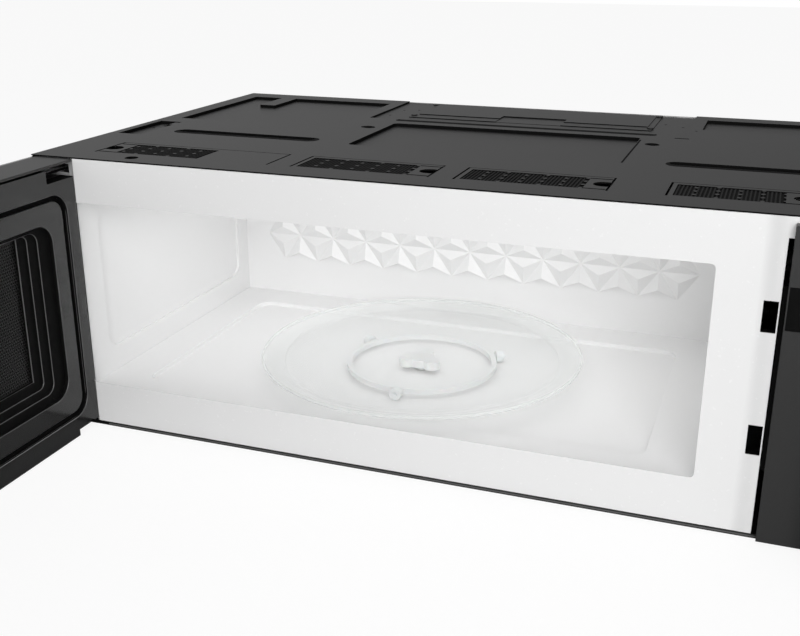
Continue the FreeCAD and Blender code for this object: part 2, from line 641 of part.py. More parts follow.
def vent_grille(left):
    """A lift-out grille: a slotted plate flush with the cover, on a rim below it."""
    lap = "plate_lap + frame_seam"
    plate = box(f"{left} + {lap}", f"vent_front + {lap}", cover_under,
                f"vent_width - 2 * ({lap})", f"vent_length - 2 * ({lap})", "cover_sheet")
    rim = box(left, "vent_front", f"{cover_under} - cover_sheet", "vent_width",
              "vent_length", "cover_sheet")
    finger_hole = box(f"{left} + vent_width - finger_hole_from_end",
                      "vent_front + (vent_length - finger_hole_length) / 2"
                      f" + {finger_hole_offset}", below,
                      "finger_hole_width", "finger_hole_length", through)
    slots = vent_holes(f"{left} + {grille_first_slot}", int(number("grille_columns")), below,
                       through)
    return less(joined(plate, rim), finger_hole, *slots)


for side, left in zip(("left", "right"), vent_lefts):
    node(vent_grille(left), f"vent_grille_{side}")

filter_top, filter_inset = f"{cavity_ceiling} + sheet", "6"
node(group(*[box(f"{left} + {filter_inset}", "vent_front", filter_top,
                 f"vent_width - 2 * {filter_inset}", "vent_length", "charcoal_thickness")
             for left in vent_lefts]), "charcoal_filters")

plate_top, tab_sheet = f"{rear_top} + cover_sheet", "0.6"
blower_plate = joined(
    box(plate_left, plate_front, rear_top, "plate_width", "plate_length", "cover_sheet"),
    box(f"{plate_left} + plate_tab_left", f"{plate_front} - cover_sheet", plate_top,
        "plate_tab_width", "plate_tab_length", tab_sheet))
node(less(blower_plate, *[rod(x, y, below, screw_hole_radius, through)
                          for x, y in plate_screw_spots]), "blower_cover_plate")
screw_length, screw_head = "8", "1"
node(group(*[joined(rod(x, y, plate_top, "screw_head_radius", screw_head),
                    rod(x, y, f"{plate_top} - {screw_length}", "screw_radius", screw_length))
             for x, y in plate_screw_spots]), "plate_screws")
nut_bottom = f"{cover_under} - hanger_nut_height"
node(group(*[less(rod(x, "hanger_from_front", nut_bottom, "hanger_nut_radius",
                      "hanger_nut_height"),
                  rod(x, "hanger_from_front", f"{nut_bottom} - 1", "hanger_bore_radius",
                      "hanger_nut_height + 2"))
             for x in hanger_lefts]), "hanger_nuts")
neck_length, bushing_flange = "6", "2"
node(less(joined(rod(*cord_spot, tray_top, "bushing_flange_radius", bushing_flange),
                 rod(*cord_spot, f"{tray_top} - {neck_length}", "bushing_neck_radius",
                     f"{neck_length} + 1")),
          rod(*cord_spot, f"{tray_top} - {neck_length} - 1", "cord_radius",
              f"{neck_length} + {bushing_flange} + 2")), "cord_bushing")

# ---------------------------------------------------------------- hinge brackets
flange_height = "18"
for side, level, toward in (("upper", "upper_hinge_level", -1), ("lower", "lower_hinge_level", 1)):
    plate_face = level if toward < 0 else f"{level} + hinge_plate_thickness"
    pin_start = f"{plate_face} - hinge_pin_length" if toward < 0 else plate_face
    flange_z = f"{level} - {flange_height}" if toward < 0 else level
    flange = box(total(hinge_x, "-hinge_nose_radius"), relief_back, flange_z,
                 "2 * hinge_nose_radius", "hinge_plate_thickness",
                 f"{flange_height} + hinge_plate_thickness")
    node(joined(hinge_plate(level), flange,
                rod(hinge_x, hinge_y, pin_start, "hinge_pin_radius", "hinge_pin_length")),
         f"{side}_hinge_bracket")

# ---------------------------------------------------------------- waveguide and magnetron
guide_back = f"{right_bay} + guide_depth"
antenna_y, antenna_z = "guide_front + guide_width / 2", "guide_bottom + 25"
guide_box = box(right_bay, "guide_front", "guide_bottom", "guide_depth", "guide_width",
                "guide_width")
guide_hollow = box(f"{right_bay} - sheet", "guide_front + sheet", "guide_bottom + sheet",
                   "guide_depth", "guide_width - 2 * sheet", "guide_width - 2 * sheet")
antenna_hole = rod(f"{guide_back} - 3 * sheet", antenna_y, antenna_z, "antenna_radius + 4",
                   "6 * sheet", "x")
node(less(guide_box, guide_hollow, antenna_hole), "waveguide")
mica_sheet, mica_inset = "0.5", "6"
mica_width = f"guide_width - 2 * {mica_inset}"
node(box("0", "0", "0", mica_sheet, mica_width, mica_width), "waveguide_cover",
     at=(f"{opening_right} - {mica_sheet}", f"guide_front + {mica_inset}",
         f"guide_bottom + {mica_inset}"))

# The tube stands on a flange, in a stack of fins between two yoke plates, and
# carries its filter box at the far end.
flange_sheet, flange_width, yoke_sheet, yoke_width = "2", "88", "3", "72"
stack_length, stack_bottom, stack_height = "66", f"{antenna_z} - 24", "68"
fin_sheet, fin_width, fin_height, fin_pitch, first_fin = "1", "76", "60", 7, 12
tube_radius, tube_level = "18", f"{antenna_z} + 10"
filter_box = ("64", "22", "60", "48")
antenna_length = "guide_depth * 0.7"


def magnetron_block(start, bottom, length, width, height):
    """A block of the magnetron, centred on its antenna from front to back."""
    return box(f"{guide_back} + {start}", f"{antenna_y} - {width} / 2", bottom, length, width,
               height)


magnetron_fins = [magnetron_block(first_fin + fin_pitch * fin, f"{stack_bottom} + 4", fin_sheet,
                                  fin_width, fin_height) for fin in range(7)]
yoke_plates = [magnetron_block(flange_sheet, bottom, stack_length, yoke_width, yoke_sheet)
               for bottom in (stack_bottom, f"{stack_bottom} + {stack_height} - {yoke_sheet}")]
box_start, box_length, box_width, box_height = filter_box
node(joined(magnetron_block("0", stack_bottom, flange_sheet, flange_width, stack_height),
            *yoke_plates,
            rod(f"{guide_back} - {antenna_length}", antenna_y, antenna_z, "antenna_radius",
                f"{antenna_length} + 2 * {flange_sheet}", "x"),
            rod(f"{guide_back} + {flange_sheet} / 2", antenna_y, tube_level, tube_radius,
                f"{stack_length} + {flange_sheet}", "x"),
            magnetron_block(box_start, f"{stack_bottom} + 10", box_length, box_width,
                            box_height),
            *magnetron_fins), "magnetron")

# ---------------------------------------------------------------- high-voltage bay
# The transformer's laminated core stands on a foot plate, with its windings
# showing in front of and behind the core.
core_gap, core_front, core_width, core_length, core_height = "16", "300", "92", "100", "62"
foot_sheet, foot_lap, foot_length = "2", "8", "80"
coil_inset, coil_overhang, coil_lift, coil_height = "12", "10", "10", "42"
core_left = f"{inner_right} - {core_gap} - {core_width}"
node(joined(box(core_left, core_front, f"sheet + {foot_sheet}", core_width, core_length,
                core_height),
            box(f"{core_left} + {coil_inset}", f"{core_front} - {coil_overhang}",
                f"sheet + {foot_sheet} + {coil_lift}", f"{core_width} - 2 * {coil_inset}",
                f"{core_length} + 2 * {coil_overhang}", coil_height),
            box(f"{core_left} - {foot_lap}", f"{core_front} + ({core_length} - {foot_length}) / 2",
                "sheet", f"{core_width} + 2 * {foot_lap}", foot_length, foot_sheet)),
     "hv_transformer")

# The capacitor is a flat can with round sides and two blade terminals on top.
can_radius, can_front, can_length, can_height = "14", "310", "52", "88"
blade_width, blade_length, blade_height, blade_inset = "4", "7", "11", "12"
capacitor_x = f"{right_bay} + {can_radius} + 3"
terminals = [box(f"{capacitor_x} - {blade_width} / 2", blade_front,
                 f"sheet + {can_height} - 1", blade_width, blade_length, blade_height)
             for blade_front in (f"{can_front} + {blade_inset}",
                                 f"{can_front} + {can_length} - {blade_inset} - {blade_length}"
                                 " + 1")]
node(joined(box(f"{capacitor_x} - {can_radius}", can_front, "sheet", f"2 * {can_radius}",
                can_length, can_height),
            rod(capacitor_x, can_front, "sheet", can_radius, can_height),
            rod(capacitor_x, f"{can_front} + {can_length}", "sheet", can_radius, can_height),
            *terminals), "hv_capacitor")

# The cooling fan blows through a round mouth in a plate across the bay. Two
# straps behind the mouth hold its motor.
fan_sheet, motor_gap, strap_height, strap_sheet, leg_width = "1.6", "20", "12", "3", "4"
fan_motor_width, fan_motor_length, fan_motor_height, leg_reach = "56", "14", "48", "52"
fan_x = f"({right_bay} + {inner_right}) / 2 + 10"
fan_plate = box(right_bay, f"fan_plate_back - {fan_sheet}", "sheet",
                f"{inner_right} - ({right_bay})", fan_sheet, f"{cover_under} - sheet")
fan_mouth = rod(fan_x, f"fan_plate_back - 2 * {fan_sheet}", "fan_level", "fan_radius + 3",
                f"4 * {fan_sheet}", "y")


def motor_strap(x, y, width, length):
    return box(x, y, f"fan_level - {strap_height} / 2", width, length, strap_height)


fan_motor = joined(
    box(f"{fan_x} - {fan_motor_width} / 2", f"fan_plate_back + {motor_gap}",
        f"fan_level - {fan_motor_height} / 2", fan_motor_width, fan_motor_length,
        fan_motor_height),
    *[motor_strap(x, "fan_plate_back", leg_width, f"{motor_gap} + {strap_sheet} - 1")
      for x in (f"{fan_x} - {leg_reach}", f"{fan_x} + {leg_reach} - {leg_width}")],
    motor_strap(f"{fan_x} - {leg_reach}", f"fan_plate_back + {motor_gap}", f"2 * {leg_reach}",
                strap_sheet))
fan_bore_length = f"{motor_gap} + {fan_motor_length} - 3"
node(less(joined(less(fan_plate, fan_mouth), fan_motor),
          rod(fan_x, "fan_plate_back", "fan_level", "fan_shaft_radius + pin_clearance",
              fan_bore_length, "y")), "magnetron_fan_frame")

fan_hub_radius, fan_hub_length, blade_count = "10", "13", 5
blade_sheet, blade_chord, blade_root, blade_pitch = 1.5, 22.0, 7.0, 60.0


def fan_blade(index):
    """One flat blade, pitched about its own radius."""
    start = FreeCAD.Vector(blade_root, -blade_sheet / 2, -blade_chord / 2)
    blade = Part.makeBox(number("fan_radius") - blade_root - 1, blade_sheet, blade_chord, start)
    blade.rotate(FreeCAD.Vector(), FreeCAD.Vector(1, 0, 0), blade_pitch)
    blade.rotate(FreeCAD.Vector(), FreeCAD.Vector(0, 1, 0), 360 * index / blade_count)
    blade.translate(FreeCAD.Vector(number(fan_x), number("fan_plate_back + 5"),
                                   number("fan_level")))
    return blade


fan_blades = unique("Part::Feature", "fan_blades")
fan_blades.Shape = Part.makeCompound([fan_blade(index) for index in range(blade_count)])
node(joined(rod(fan_x, "fan_plate_back - 1", "fan_level", fan_hub_radius, fan_hub_length, "y"),
            rod(fan_x, "fan_plate_back + 10", "fan_level", "fan_shaft_radius", "20", "y"),
            fan_blades), "magnetron_fan_blade")

socket_depth, socket_width, bulb_radius, bulb_length = "3", "34", "11", "24"
socket_spot = ("50", "cabinet_height - 80")
node(joined(box(right_bay, *socket_spot, socket_depth, socket_width, socket_width),
            rod(f"{right_bay} + {socket_depth}", *[f"{at} + {socket_width} / 2"
                                                   for at in socket_spot],
                bulb_radius, bulb_length, "x")), "cavity_lamp")

# ---------------------------------------------------------------- latch board and switches
# A folded board behind the latch slots carries the two switches, with a shelf
# under each slot for the hook.
board_sheet, board_flange, board_depth, board_overhang = "3", "14", "40", "12"
shelf_lap, shelf_depth, shelf_height, shelf_drop = "3", "10", "7", "8"
plunger_length, plunger_width, plunger_height, plunger_gap = "4.5", "4", "6", "0.1"
switch_width, switch_length, switch_height, switch_drop = "10", "20", "18", "6"
switch_front = "4 * sheet + 0.8"
plunger_front = f"{switch_front} + 3"
board_left = "slot_left + slot_width + 2"
switch_levels = [f"{bottom} + 6" for bottom in slot_bottoms]
latch_board_bottom = f"lower_slot_bottom - {board_overhang}"
latch_board_height = f"upper_slot_bottom - lower_slot_bottom + slot_height + 2 * {board_overhang}"
latch_board = joined(
    box(board_left, "sheet", latch_board_bottom, board_sheet, board_depth, latch_board_height),
    box(board_left, "sheet", latch_board_bottom, board_flange, board_sheet,
        latch_board_height),
    *[box(f"slot_left - {shelf_lap}", "sheet", f"{bottom} - {shelf_drop}",
          f"slot_width + 2 * {shelf_lap}", shelf_depth, shelf_height) for bottom in slot_bottoms])


def plunger_way(left, level, length):
    """Room for a plunger and its clearance all round."""
    return box(left, plunger_front, level, length, f"{plunger_width} + 2 * {plunger_gap}",
               f"{plunger_height} + 2 * {plunger_gap}")


plunger_holes = [plunger_way(f"{board_left} - 2", level, f"{board_sheet} + 4")
                 for level in switch_levels]
node(less(latch_board, *plunger_holes), "latch_board")
switch_left = f"{board_left} + {board_sheet}"
switch_pockets = [plunger_way(f"{switch_left} - 1", level, "4.2") for level in switch_levels]
node(group(*[less(box(switch_left, switch_front, f"{level} - {switch_drop}", switch_width,
                      switch_length, switch_height), pocket)
             for level, pocket in zip(switch_levels, switch_pockets)]), "interlock_switches")
for place_word, level in zip(("upper", "lower"), switch_levels):
    node(box("0", "0", "0", plunger_length, plunger_width, plunger_height),
         f"{place_word}_switch_plunger",
         at=(f"{board_left} - 3", f"{plunger_front} + {plunger_gap}",
             f"{level} + {plunger_gap}"))

# ---------------------------------------------------------------- turntable
motor_top = f"{recess_floor} - sheet"
ear_length, ear_width, ear_sheet, stem_bore_depth = "68", "16", "1.2", "10"
node(less(joined(rod(turntable_x, turntable_y, f"{motor_top} - turntable_motor_height",
                     "turntable_motor_radius", "turntable_motor_height"),
                 box(f"{turntable_x} - {ear_length} / 2", f"{turntable_y} - {ear_width} / 2",
                     f"{motor_top} - {ear_sheet}", ear_length, ear_width, ear_sheet)),
          rod(turntable_x, turntable_y, f"{motor_top} - {stem_bore_depth}",
              "drive_stem_radius + pin_clearance", f"{stem_bore_depth} + 2")),
     "turntable_motor")
hub_height, hub_radius, lobe_radius, lobe_reach = "8", "13", "8", "15"
hub_bottom = f"tray_base_level - {hub_height}"
lobes = []
for angle in (90, 210, 330):
    lobe_x = f"{turntable_x} + {lobe_reach} * cos({angle}deg)"
    lobe_y = f"{turntable_y} + {lobe_reach} * sin({angle}deg)"
    lobes.append(rod(lobe_x, lobe_y, hub_bottom, lobe_radius, hub_height))
stem_bottom = f"{motor_top} - {stem_bore_depth} + 0.4"
node(joined(rod(turntable_x, turntable_y, hub_bottom, hub_radius, hub_height), *lobes,
            rod(turntable_x, turntable_y, stem_bottom, "drive_stem_radius",
                f"tray_base_level - ({stem_bottom})")), "tray_coupler")

tray = unique("PartDesign::Body", "tray")
tray_sketch = sketch_on(tray, "y")
rim_start = "tray_radius - tray_rim_width"
draw_outline(tray_sketch, [
    ("0", "0"), ("tray_track_radius", "0"), (rim_start, "tray_rim_rise - tray_glass"),
    ("tray_radius", "tray_rim_rise - tray_glass"), ("tray_radius", "tray_rim_rise"),
    (f"{rim_start} - 2", "tray_rim_rise"), ("tray_track_radius - 2", "tray_glass"),
    ("0", "tray_glass")])
turned = tray.newObject("PartDesign::Revolution", "turned")
turned.Profile = tray_sketch
turned.ReferenceAxis = (tray_sketch, ["V_Axis"])
turned.Angle = 360
document.recompute()
node(tray, "glass_tray", at=(turntable_x, turntable_y, "tray_base_level"))

# Three rollers run between the recessed floor and the tray, on a loose ring.
roller_radius = f"(tray_base_level - ({recess_floor})) / 2 - roller_clearance"
axle_level = f"(tray_base_level + ({recess_floor})) / 2"
ring_radius = "roller_circle_radius - roller_width / 2 - 2"
ring_height, ring_band_width = "5", "5"


def around(x, y, z, radius, length, angle):
    """A cylinder along a radius of the turntable, drawn on plus x and turned about it."""
    piece = unique("Part::Feature", "around")
    shape = Part.makeCylinder(number(radius), number(length),
                              FreeCAD.Vector(number(x), number(y), number(z)),
                              FreeCAD.Vector(1, 0, 0))
    shape.rotate(FreeCAD.Vector(number(turntable_x), number(turntable_y), 0),
                 FreeCAD.Vector(0, 0, 1), angle)
    piece.Shape = shape
    return piece


ROLLER_ANGLES = (31.5, 151.5, 271.5)
ring_bottom = f"{axle_level} - {ring_height} / 2"
ring_band = less(rod(turntable_x, turntable_y, ring_bottom, ring_radius, ring_height),
                 rod(turntable_x, turntable_y, f"{ring_bottom} - 1",
                     f"{ring_radius} - {ring_band_width}", f"{ring_height} + 2"))
axles = [around(f"{turntable_x} + {ring_radius} - 2", turntable_y, axle_level,
                "roller_axle_radius", "roller_width + 6", angle) for angle in ROLLER_ANGLES]
node(joined(ring_band, *axles), "roller_ring")
for index, angle in enumerate(ROLLER_ANGLES, start=1):
    start = f"{turntable_x} + roller_circle_radius - roller_width / 2"
    wheel = less(around(start, turntable_y, axle_level, roller_radius, "roller_width", angle),
                 around(f"{start} - 1", turntable_y, axle_level,
                        "roller_axle_radius + pin_clearance", "roller_width + 2", angle))
    node(wheel, f"roller_{index}")

# ---------------------------------------------------------------- exhaust blower
wheel_gap, wheel_drop, mouth_lap, web_sheet = "5", "8", "9", "2"
blower_y = f"{plate_front} + plate_length / 2"
housing_left, housing_width = f"{plate_left} + plate_lap + 1", "plate_width - 2 * plate_lap - 2"
housing_front = f"{blower_y} - blower_wheel_radius - {wheel_gap}"
housing_length = f"2 * (blower_wheel_radius + {wheel_gap})"
housing_bottom = f"blower_level - blower_wheel_radius - {wheel_drop}"
housing_height = f"{rear_top} - cover_sheet - ({housing_bottom})"
housing_shell = less(
    box(housing_left, housing_front, housing_bottom, housing_width, housing_length,
        housing_height),
    box(f"{housing_left} + blower_wall", f"{housing_front} + blower_wall",
        f"{housing_bottom} + blower_wall", f"{housing_width} - 2 * blower_wall",
        f"{housing_length} - 2 * blower_wall", housing_height),
    rod(f"{housing_left} - 2", blower_y, "blower_level", f"blower_wheel_radius - {mouth_lap}",
        f"{housing_width} + 4", "x"))
node(housing_shell, "blower_housing")
blower_motor_left = f"{half_width} - blower_motor_length / 2"
motor_web = box(f"{half_width} - {web_sheet} / 2", f"{housing_front} + blower_wall",
                f"{housing_bottom} + blower_wall", web_sheet,
                f"{housing_length} - 2 * blower_wall", "blower_wheel_radius + 34")
node(less(joined(rod(blower_motor_left, blower_y, "blower_level", "blower_motor_radius",
                     "blower_motor_length", "x"), motor_web),
          rod(f"{blower_motor_left} - 1", blower_y, "blower_level",
              "blower_shaft_radius + pin_clearance", "blower_motor_length + 2", "x")),
     "blower_motor")
shaft_end = "4"
shaft_left = f"{blower_motor_left} - blower_wheel_width - {shaft_end}"
shaft_length = f"blower_motor_length + 2 * (blower_wheel_width + {shaft_end})"
node(rod("0", "0", "0", "blower_shaft_radius", shaft_length, "x"), "blower_shaft",
     at=(shaft_left, blower_y, "blower_level"))


disc_sheet, end_ring_width, vane_count = 2.0, 3.0, 24
wheel_hub_radius, wheel_hub_length = 9.0, 12.0
vane_sheet, vane_depth, vane_lap = 1.0, 7.0, 0.5


def blower_wheel(left, disc_left):
    """A squirrel-cage wheel: a back disc with a hub, a ring of vanes and an end ring."""
    x, y, z = number(left), number(blower_y), number("blower_level")
    radius, width = number("blower_wheel_radius"), number("blower_wheel_width")
    along, disc_x = FreeCAD.Vector(1, 0, 0), number(disc_left)
    disc_first = disc_x == x
    hub_x = disc_x if disc_first else disc_x + disc_sheet - wheel_hub_length
    ring_start = FreeCAD.Vector(x + width - end_ring_width if disc_first else x, y, z)
    shape = Part.makeCylinder(radius, disc_sheet, FreeCAD.Vector(disc_x, y, z), along)
    shape = shape.fuse(Part.makeCylinder(wheel_hub_radius, wheel_hub_length,
                                         FreeCAD.Vector(hub_x, y, z), along))
    ring = Part.makeCylinder(radius, end_ring_width, ring_start, along)
    ring_hole = Part.makeCylinder(radius - vane_depth - 1, end_ring_width, ring_start, along)
    vanes = []
    for index in range(vane_count):
        start = FreeCAD.Vector(x + vane_lap, y - vane_sheet / 2, z + radius - vane_depth - vane_lap)
        vane = Part.makeBox(width - 2 * vane_lap, vane_sheet, vane_depth, start)
        vane.rotate(FreeCAD.Vector(x, y, z), along, 360 / vane_count * index)
        vanes.append(vane)
    shape = shape.fuse([ring.cut(ring_hole), *vanes])
    bore = Part.makeCylinder(number("blower_shaft_radius"), width + 2,
                             FreeCAD.Vector(x - 1, y, z), along)
    return shape.cut(bore).removeSplitter()


wheels = unique("Part::Feature", "wheels")
wheel_clearance = "2"
left_wheel_start = f"{blower_motor_left} - {wheel_clearance} - blower_wheel_width"
right_wheel_start = f"{half_width} + blower_motor_length / 2 + {wheel_clearance}"
wheels.Shape = Part.makeCompound([
    blower_wheel(left_wheel_start, f"{left_wheel_start} + blower_wheel_width - {disc_sheet}"),
    blower_wheel(right_wheel_start, right_wheel_start)])
node(wheels, "blower_wheels")

# ---------------------------------------------------------------- control side
# One moulding makes the shallow ledge behind the door's free edge and the deep
# column beside it, which a sheet of touch glass closes.
column_width = f"{control_right} - ({control_left})"
column_front = "-(door_thickness + door_gap - control_glass_thickness)"
ledge = less(box("ledge_left", "-ledge_depth", "ledge_bottom", "ledge_width + panel_wall",
                 "ledge_depth", "ledge_height"),
             box("ledge_left + panel_wall", "panel_wall - ledge_depth",
                 "ledge_bottom + panel_wall", "ledge_width - panel_wall",
                 "ledge_depth", "ledge_height - 2 * panel_wall"))
column = less(box(control_left, column_front, "door_bottom", column_width,
                  f"-({column_front})", door_height),
              box(f"{control_left} + panel_wall", f"{column_front} - 1",
                  "door_bottom + panel_wall", f"{column_width} - 2 * panel_wall",
                  f"-({column_front}) + 1 - panel_wall", f"{door_height} - 2 * panel_wall"))
board_back_off, board_rise, board_fall = "8", "28", "24"
post_radius, post_inset_x, post_inset_z = "3", "6", "8"
board_front = f"{column_front} + {board_back_off}"
board_x, board_width = f"{control_left} + panel_wall + 1", f"{column_width} - 2 * panel_wall - 2"
board_z = f"door_bottom + {board_rise}"
board_height = f"{door_height} - {board_rise} - {board_fall}"
posts = [rod(f"{board_x} + {dx}", f"{board_front} + board_thickness", total(board_z, dz),
             post_radius, f"-({board_front}) - board_thickness - panel_wall + 1", "y")
         for dx in (post_inset_x, f"{board_width} - {post_inset_x}")
         for dz in (post_inset_z, f"{board_height} - {post_inset_z}")]
node(joined(ledge, column, *posts), "control_housing")
node(box("0", "0", "0", column_width, "control_glass_thickness", door_height),
     "control_glass",
     at=(control_left, f"{column_front} - control_glass_thickness", "door_bottom"))
node(box("0", "0", "0", board_width, "board_thickness", board_height), "control_board",
     at=(board_x, board_front, board_z))
display_inset, display_drop = "3", "6"
node(box("0", "0", "0", f"{board_width} - 2 * {display_inset}", board_back_off,
         "display_height"), "display_module",
     at=(f"{board_x} + {display_inset}", column_front,
         f"{board_z} + {board_height} - display_height - {display_drop}"))

# ---------------------------------------------------------------- door
# Drawn shut: x from the hinge-side edge, y from the outer glass face inwards,
# z from the bottom of the door.
glass_corner, glass_back = "3", "door_glass_thickness"
node(rounded("y", "0", "0", "0", "door_width", door_height, "door_glass_thickness",
             glass_corner), "door_glass", door=True)
deep_width = "ledge_left + door_overhang - door_lip_clearance"
cover_start = "door_thickness - choke_cover_thickness"
choke_sheet = "3"
choke_start = f"{cover_start} - screen_thickness - {choke_sheet}"


def door_notches():
    """The two corners cut away, below the door's cap, where the hinge brackets reach in."""
    depth = "door_thickness"
    return [box("-1", "notch_front_wall", f"{door_height} - upper_notch_height",
                "upper_notch_width + 1", depth, "upper_notch_height - cap_thickness"),
            box("-1", "notch_front_wall", "-1", "lower_notch_width + 1", depth,
                "lower_notch_height + 1")]


pin_y = "door_thickness - hinge_from_inner_face"
bush_length = "hinge_pin_length"
upper_bush_z = f"{door_height} - upper_notch_height - ({bush_length})"


def bush_bores(radius):
    return [rod("hinge_from_edge", pin_y, upper_bush_z, radius, f"{bush_length} + 1"),
            rod("hinge_from_edge", pin_y, "lower_notch_height - 1", radius,
                f"{bush_length} + 1")]


frame_lap, frame_wall, choke_gap = "14", "3", "1"
choke_left = "hinge_from_edge + hinge_bush_radius"
choke_edge = f"{frame_wall} + {choke_gap}"
door_ring = less(
    box("0", glass_back, "0", deep_width, f"{cover_start} - {glass_back}", door_height),
    box(f"window_left - {frame_lap}", f"{glass_back} - 1", f"window_bottom - {frame_lap}",
        f"window_width + 2 * {frame_lap}", "door_thickness",
        f"window_height + 2 * {frame_lap}"),
    box(f"{choke_left} + {frame_wall}", choke_start, frame_wall,
        f"{deep_width} - ({choke_left}) - 2 * {frame_wall}", "door_thickness",
        f"{door_height} - 2 * {frame_wall}"))
door_lip = box(deep_width, glass_back, "0", f"door_width - ({deep_width})",
               f"door_lip_thickness - {glass_back}", door_height)
latch_x = "slot_left + door_overhang + 2"
latch_width = "slot_width - 4"
latch_y = "door_lip_thickness"
latch_bottom = "lower_slot_bottom - door_bottom - 6"
latch_height = "upper_slot_bottom - lower_slot_bottom + slot_height + 4"
latch_front, latch_thickness = f"{latch_y} - 1", "5"
latch_top = f"{latch_bottom} + {latch_height}"
spring_height, wire_radius, coil_radius = "latch_travel + 14", "0.5", "2.2"
latch_pocket = box(f"{latch_x} - slide_gap", f"{latch_front} - slide_gap",
                   f"{latch_bottom} - slide_gap", f"{latch_width} + 2 * slide_gap",
                   f"{latch_thickness} + 2 * slide_gap",
                   f"{latch_height} + {spring_height} + 2 * {wire_radius} + 3 * slide_gap")
handle_x = "door_width - handle_from_free_edge - handle_width"
handle_z = f"({door_height} - handle_height) / 2"
post_height, post_from_end, handle_corner = "14", "12", "4"
post_spots = [total(handle_z, dz)
              for dz in (post_from_end, f"handle_height - {post_from_end} - {post_height}")]
door_cap = rounded("z", "0", glass_back, f"{door_height} - cap_thickness", deep_width,
                   f"door_thickness - {glass_back}", "cap_thickness", "door_corner")
frame_body = joined(less(joined(door_ring, door_lip), *door_notches(),
                         *bush_bores("hinge_bush_radius")), door_cap)
node(frame_body, "door_frame", door=True)

choke_ring = less(
    box(f"{choke_left} + {choke_edge}", choke_start, choke_edge,
        f"{deep_width} - ({choke_left}) - 2 * ({choke_edge})", choke_sheet,
        f"{door_height} - 2 * ({choke_edge})"),
    box("window_left", f"{choke_start} - 1", "window_bottom", "window_width",
        f"{choke_sheet} + 2", "window_height"),
    *door_notches())
node(choke_ring, "door_choke", door=True)
screen_lap = "12"
screen_y = f"{cover_start} - screen_thickness"
node(box("0", "0", "0", f"window_width + 2 * {screen_lap}", "screen_thickness",
         f"window_height + 2 * {screen_lap}"), "door_screen",
     at=(f"window_left - {screen_lap}", screen_y, f"window_bottom - {screen_lap}"), door=True)

# The inner trim steps down to the window in four rounded frames.
# Each row: margin beside, below and above the window, corner radius, sunk steps.
STEPS = ((60.0, 50.5, 29.8, 19.0, 1), (38.0, 26.0, 6.4, 18.0, 3),
         (22.0, 17.0, 2.0, 10.0, 4), (11.0, 9.0, 1.0, 6.0, 5))
step_cuts = []
for beside, below_window, above, radius, steps in STEPS:
    step_cuts.append(rounded(
        "y", f"window_left - {beside}", f"window_bottom - {below_window}",
        f"door_thickness - {steps} * choke_step", f"window_width + 2 * {beside}",
        f"window_height + {below_window} + {above}", "door_thickness", f"{radius}"))
seat_lap, film_lap = "4", "3.5"
film_seat = box(f"window_left - {seat_lap}", cover_start, f"window_bottom - {seat_lap}",
                f"window_width + 2 * {seat_lap}", "film_thickness",
                f"window_height + 2 * {seat_lap}")
window_hole = box("window_left", f"{cover_start} - 1", "window_bottom", "window_width",
                  "door_thickness", "window_height")
hook_windows = [box(f"{latch_x} - slide_gap", latch_y, f"{bottom} - door_bottom",
                    f"{latch_width} + 2 * slide_gap", "choke_cover_thickness",
                    "slot_height - 2")
                for bottom in slot_bottoms]
cover_plate = rounded("z", "0", cover_start, "0", deep_width, "choke_cover_thickness",
                      f"{door_height} - cap_thickness - cap_gap", "door_corner")
node(less(cover_plate, *step_cuts, film_seat, window_hole, latch_pocket, *hook_windows,
          *door_notches()), "choke_cover", door=True)
node(box("0", "0", "0", f"window_width + 2 * {film_lap}", "film_thickness - 0.1",
         f"window_height + 2 * {film_lap}"), "door_inner_window",
     at=(f"window_left - {film_lap}", cover_start, f"window_bottom - {film_lap}"), door=True)

node(group(*[less(rod("hinge_from_edge", pin_y, start, "hinge_bush_radius", bush_length),
                  rod("hinge_from_edge", pin_y, f"{start} - 1",
                      "hinge_pin_radius + pin_clearance", f"{bush_length} + 2"))
             for start in (upper_bush_z, "lower_notch_height")]), "door_hinge_bushes", door=True)

handle_posts = [box(handle_x, "-handle_reach", z, "handle_width", "handle_reach", post_height)
                for z in post_spots]
handle_bar = rounded("z", handle_x, "0", handle_z, "handle_width", "handle_thickness",
                     "handle_height", handle_corner)
bind(handle_bar, Placement__Base__y=f"-handle_reach - handle_thickness + {handle_corner}")
node(joined(handle_bar, *handle_posts), "door_handle", door=True)

# The latch: one sliding bar with two hooks, pressed down by a spring.
hook_start = f"{latch_front} + {latch_thickness} - 1"
hook_tip = "door_thickness + door_gap + hook_length"
hook_height, barb_length, barb_drop, barb_height = "8", "4", "2.5", "3"
hooks = []
for bottom in slot_bottoms:
    base = f"{bottom} - door_bottom + latch_travel"
    hooks.append(box(latch_x, hook_start, base, latch_width, f"{hook_tip} - ({hook_start})",
                     hook_height))
    hooks.append(box(latch_x, f"{hook_tip} - {barb_length}", f"{base} - {barb_drop}",
                     latch_width, barb_length, barb_height))
latch_bar = box(latch_x, latch_front, latch_bottom, latch_width, latch_thickness, latch_height)
node(joined(latch_bar, *hooks), "door_latch", door=True)


def spring(turns, wire, radius, height):
    """An open coil of round wire that climbs plus z from a start point on plus x."""
    path = Part.makeHelix(height / turns, height, radius)
    section = Part.makeCircle(wire, FreeCAD.Vector(radius, 0, 0), FreeCAD.Vector(0, 1, 0))
    sweep = Part.BRepOffsetAPI.MakePipeShell(Part.Wire(path.Edges))
    sweep.setFrenetMode(True)
    sweep.add(Part.Wire(section))
    sweep.build()
    sweep.makeSolid()
    return sweep.shape()


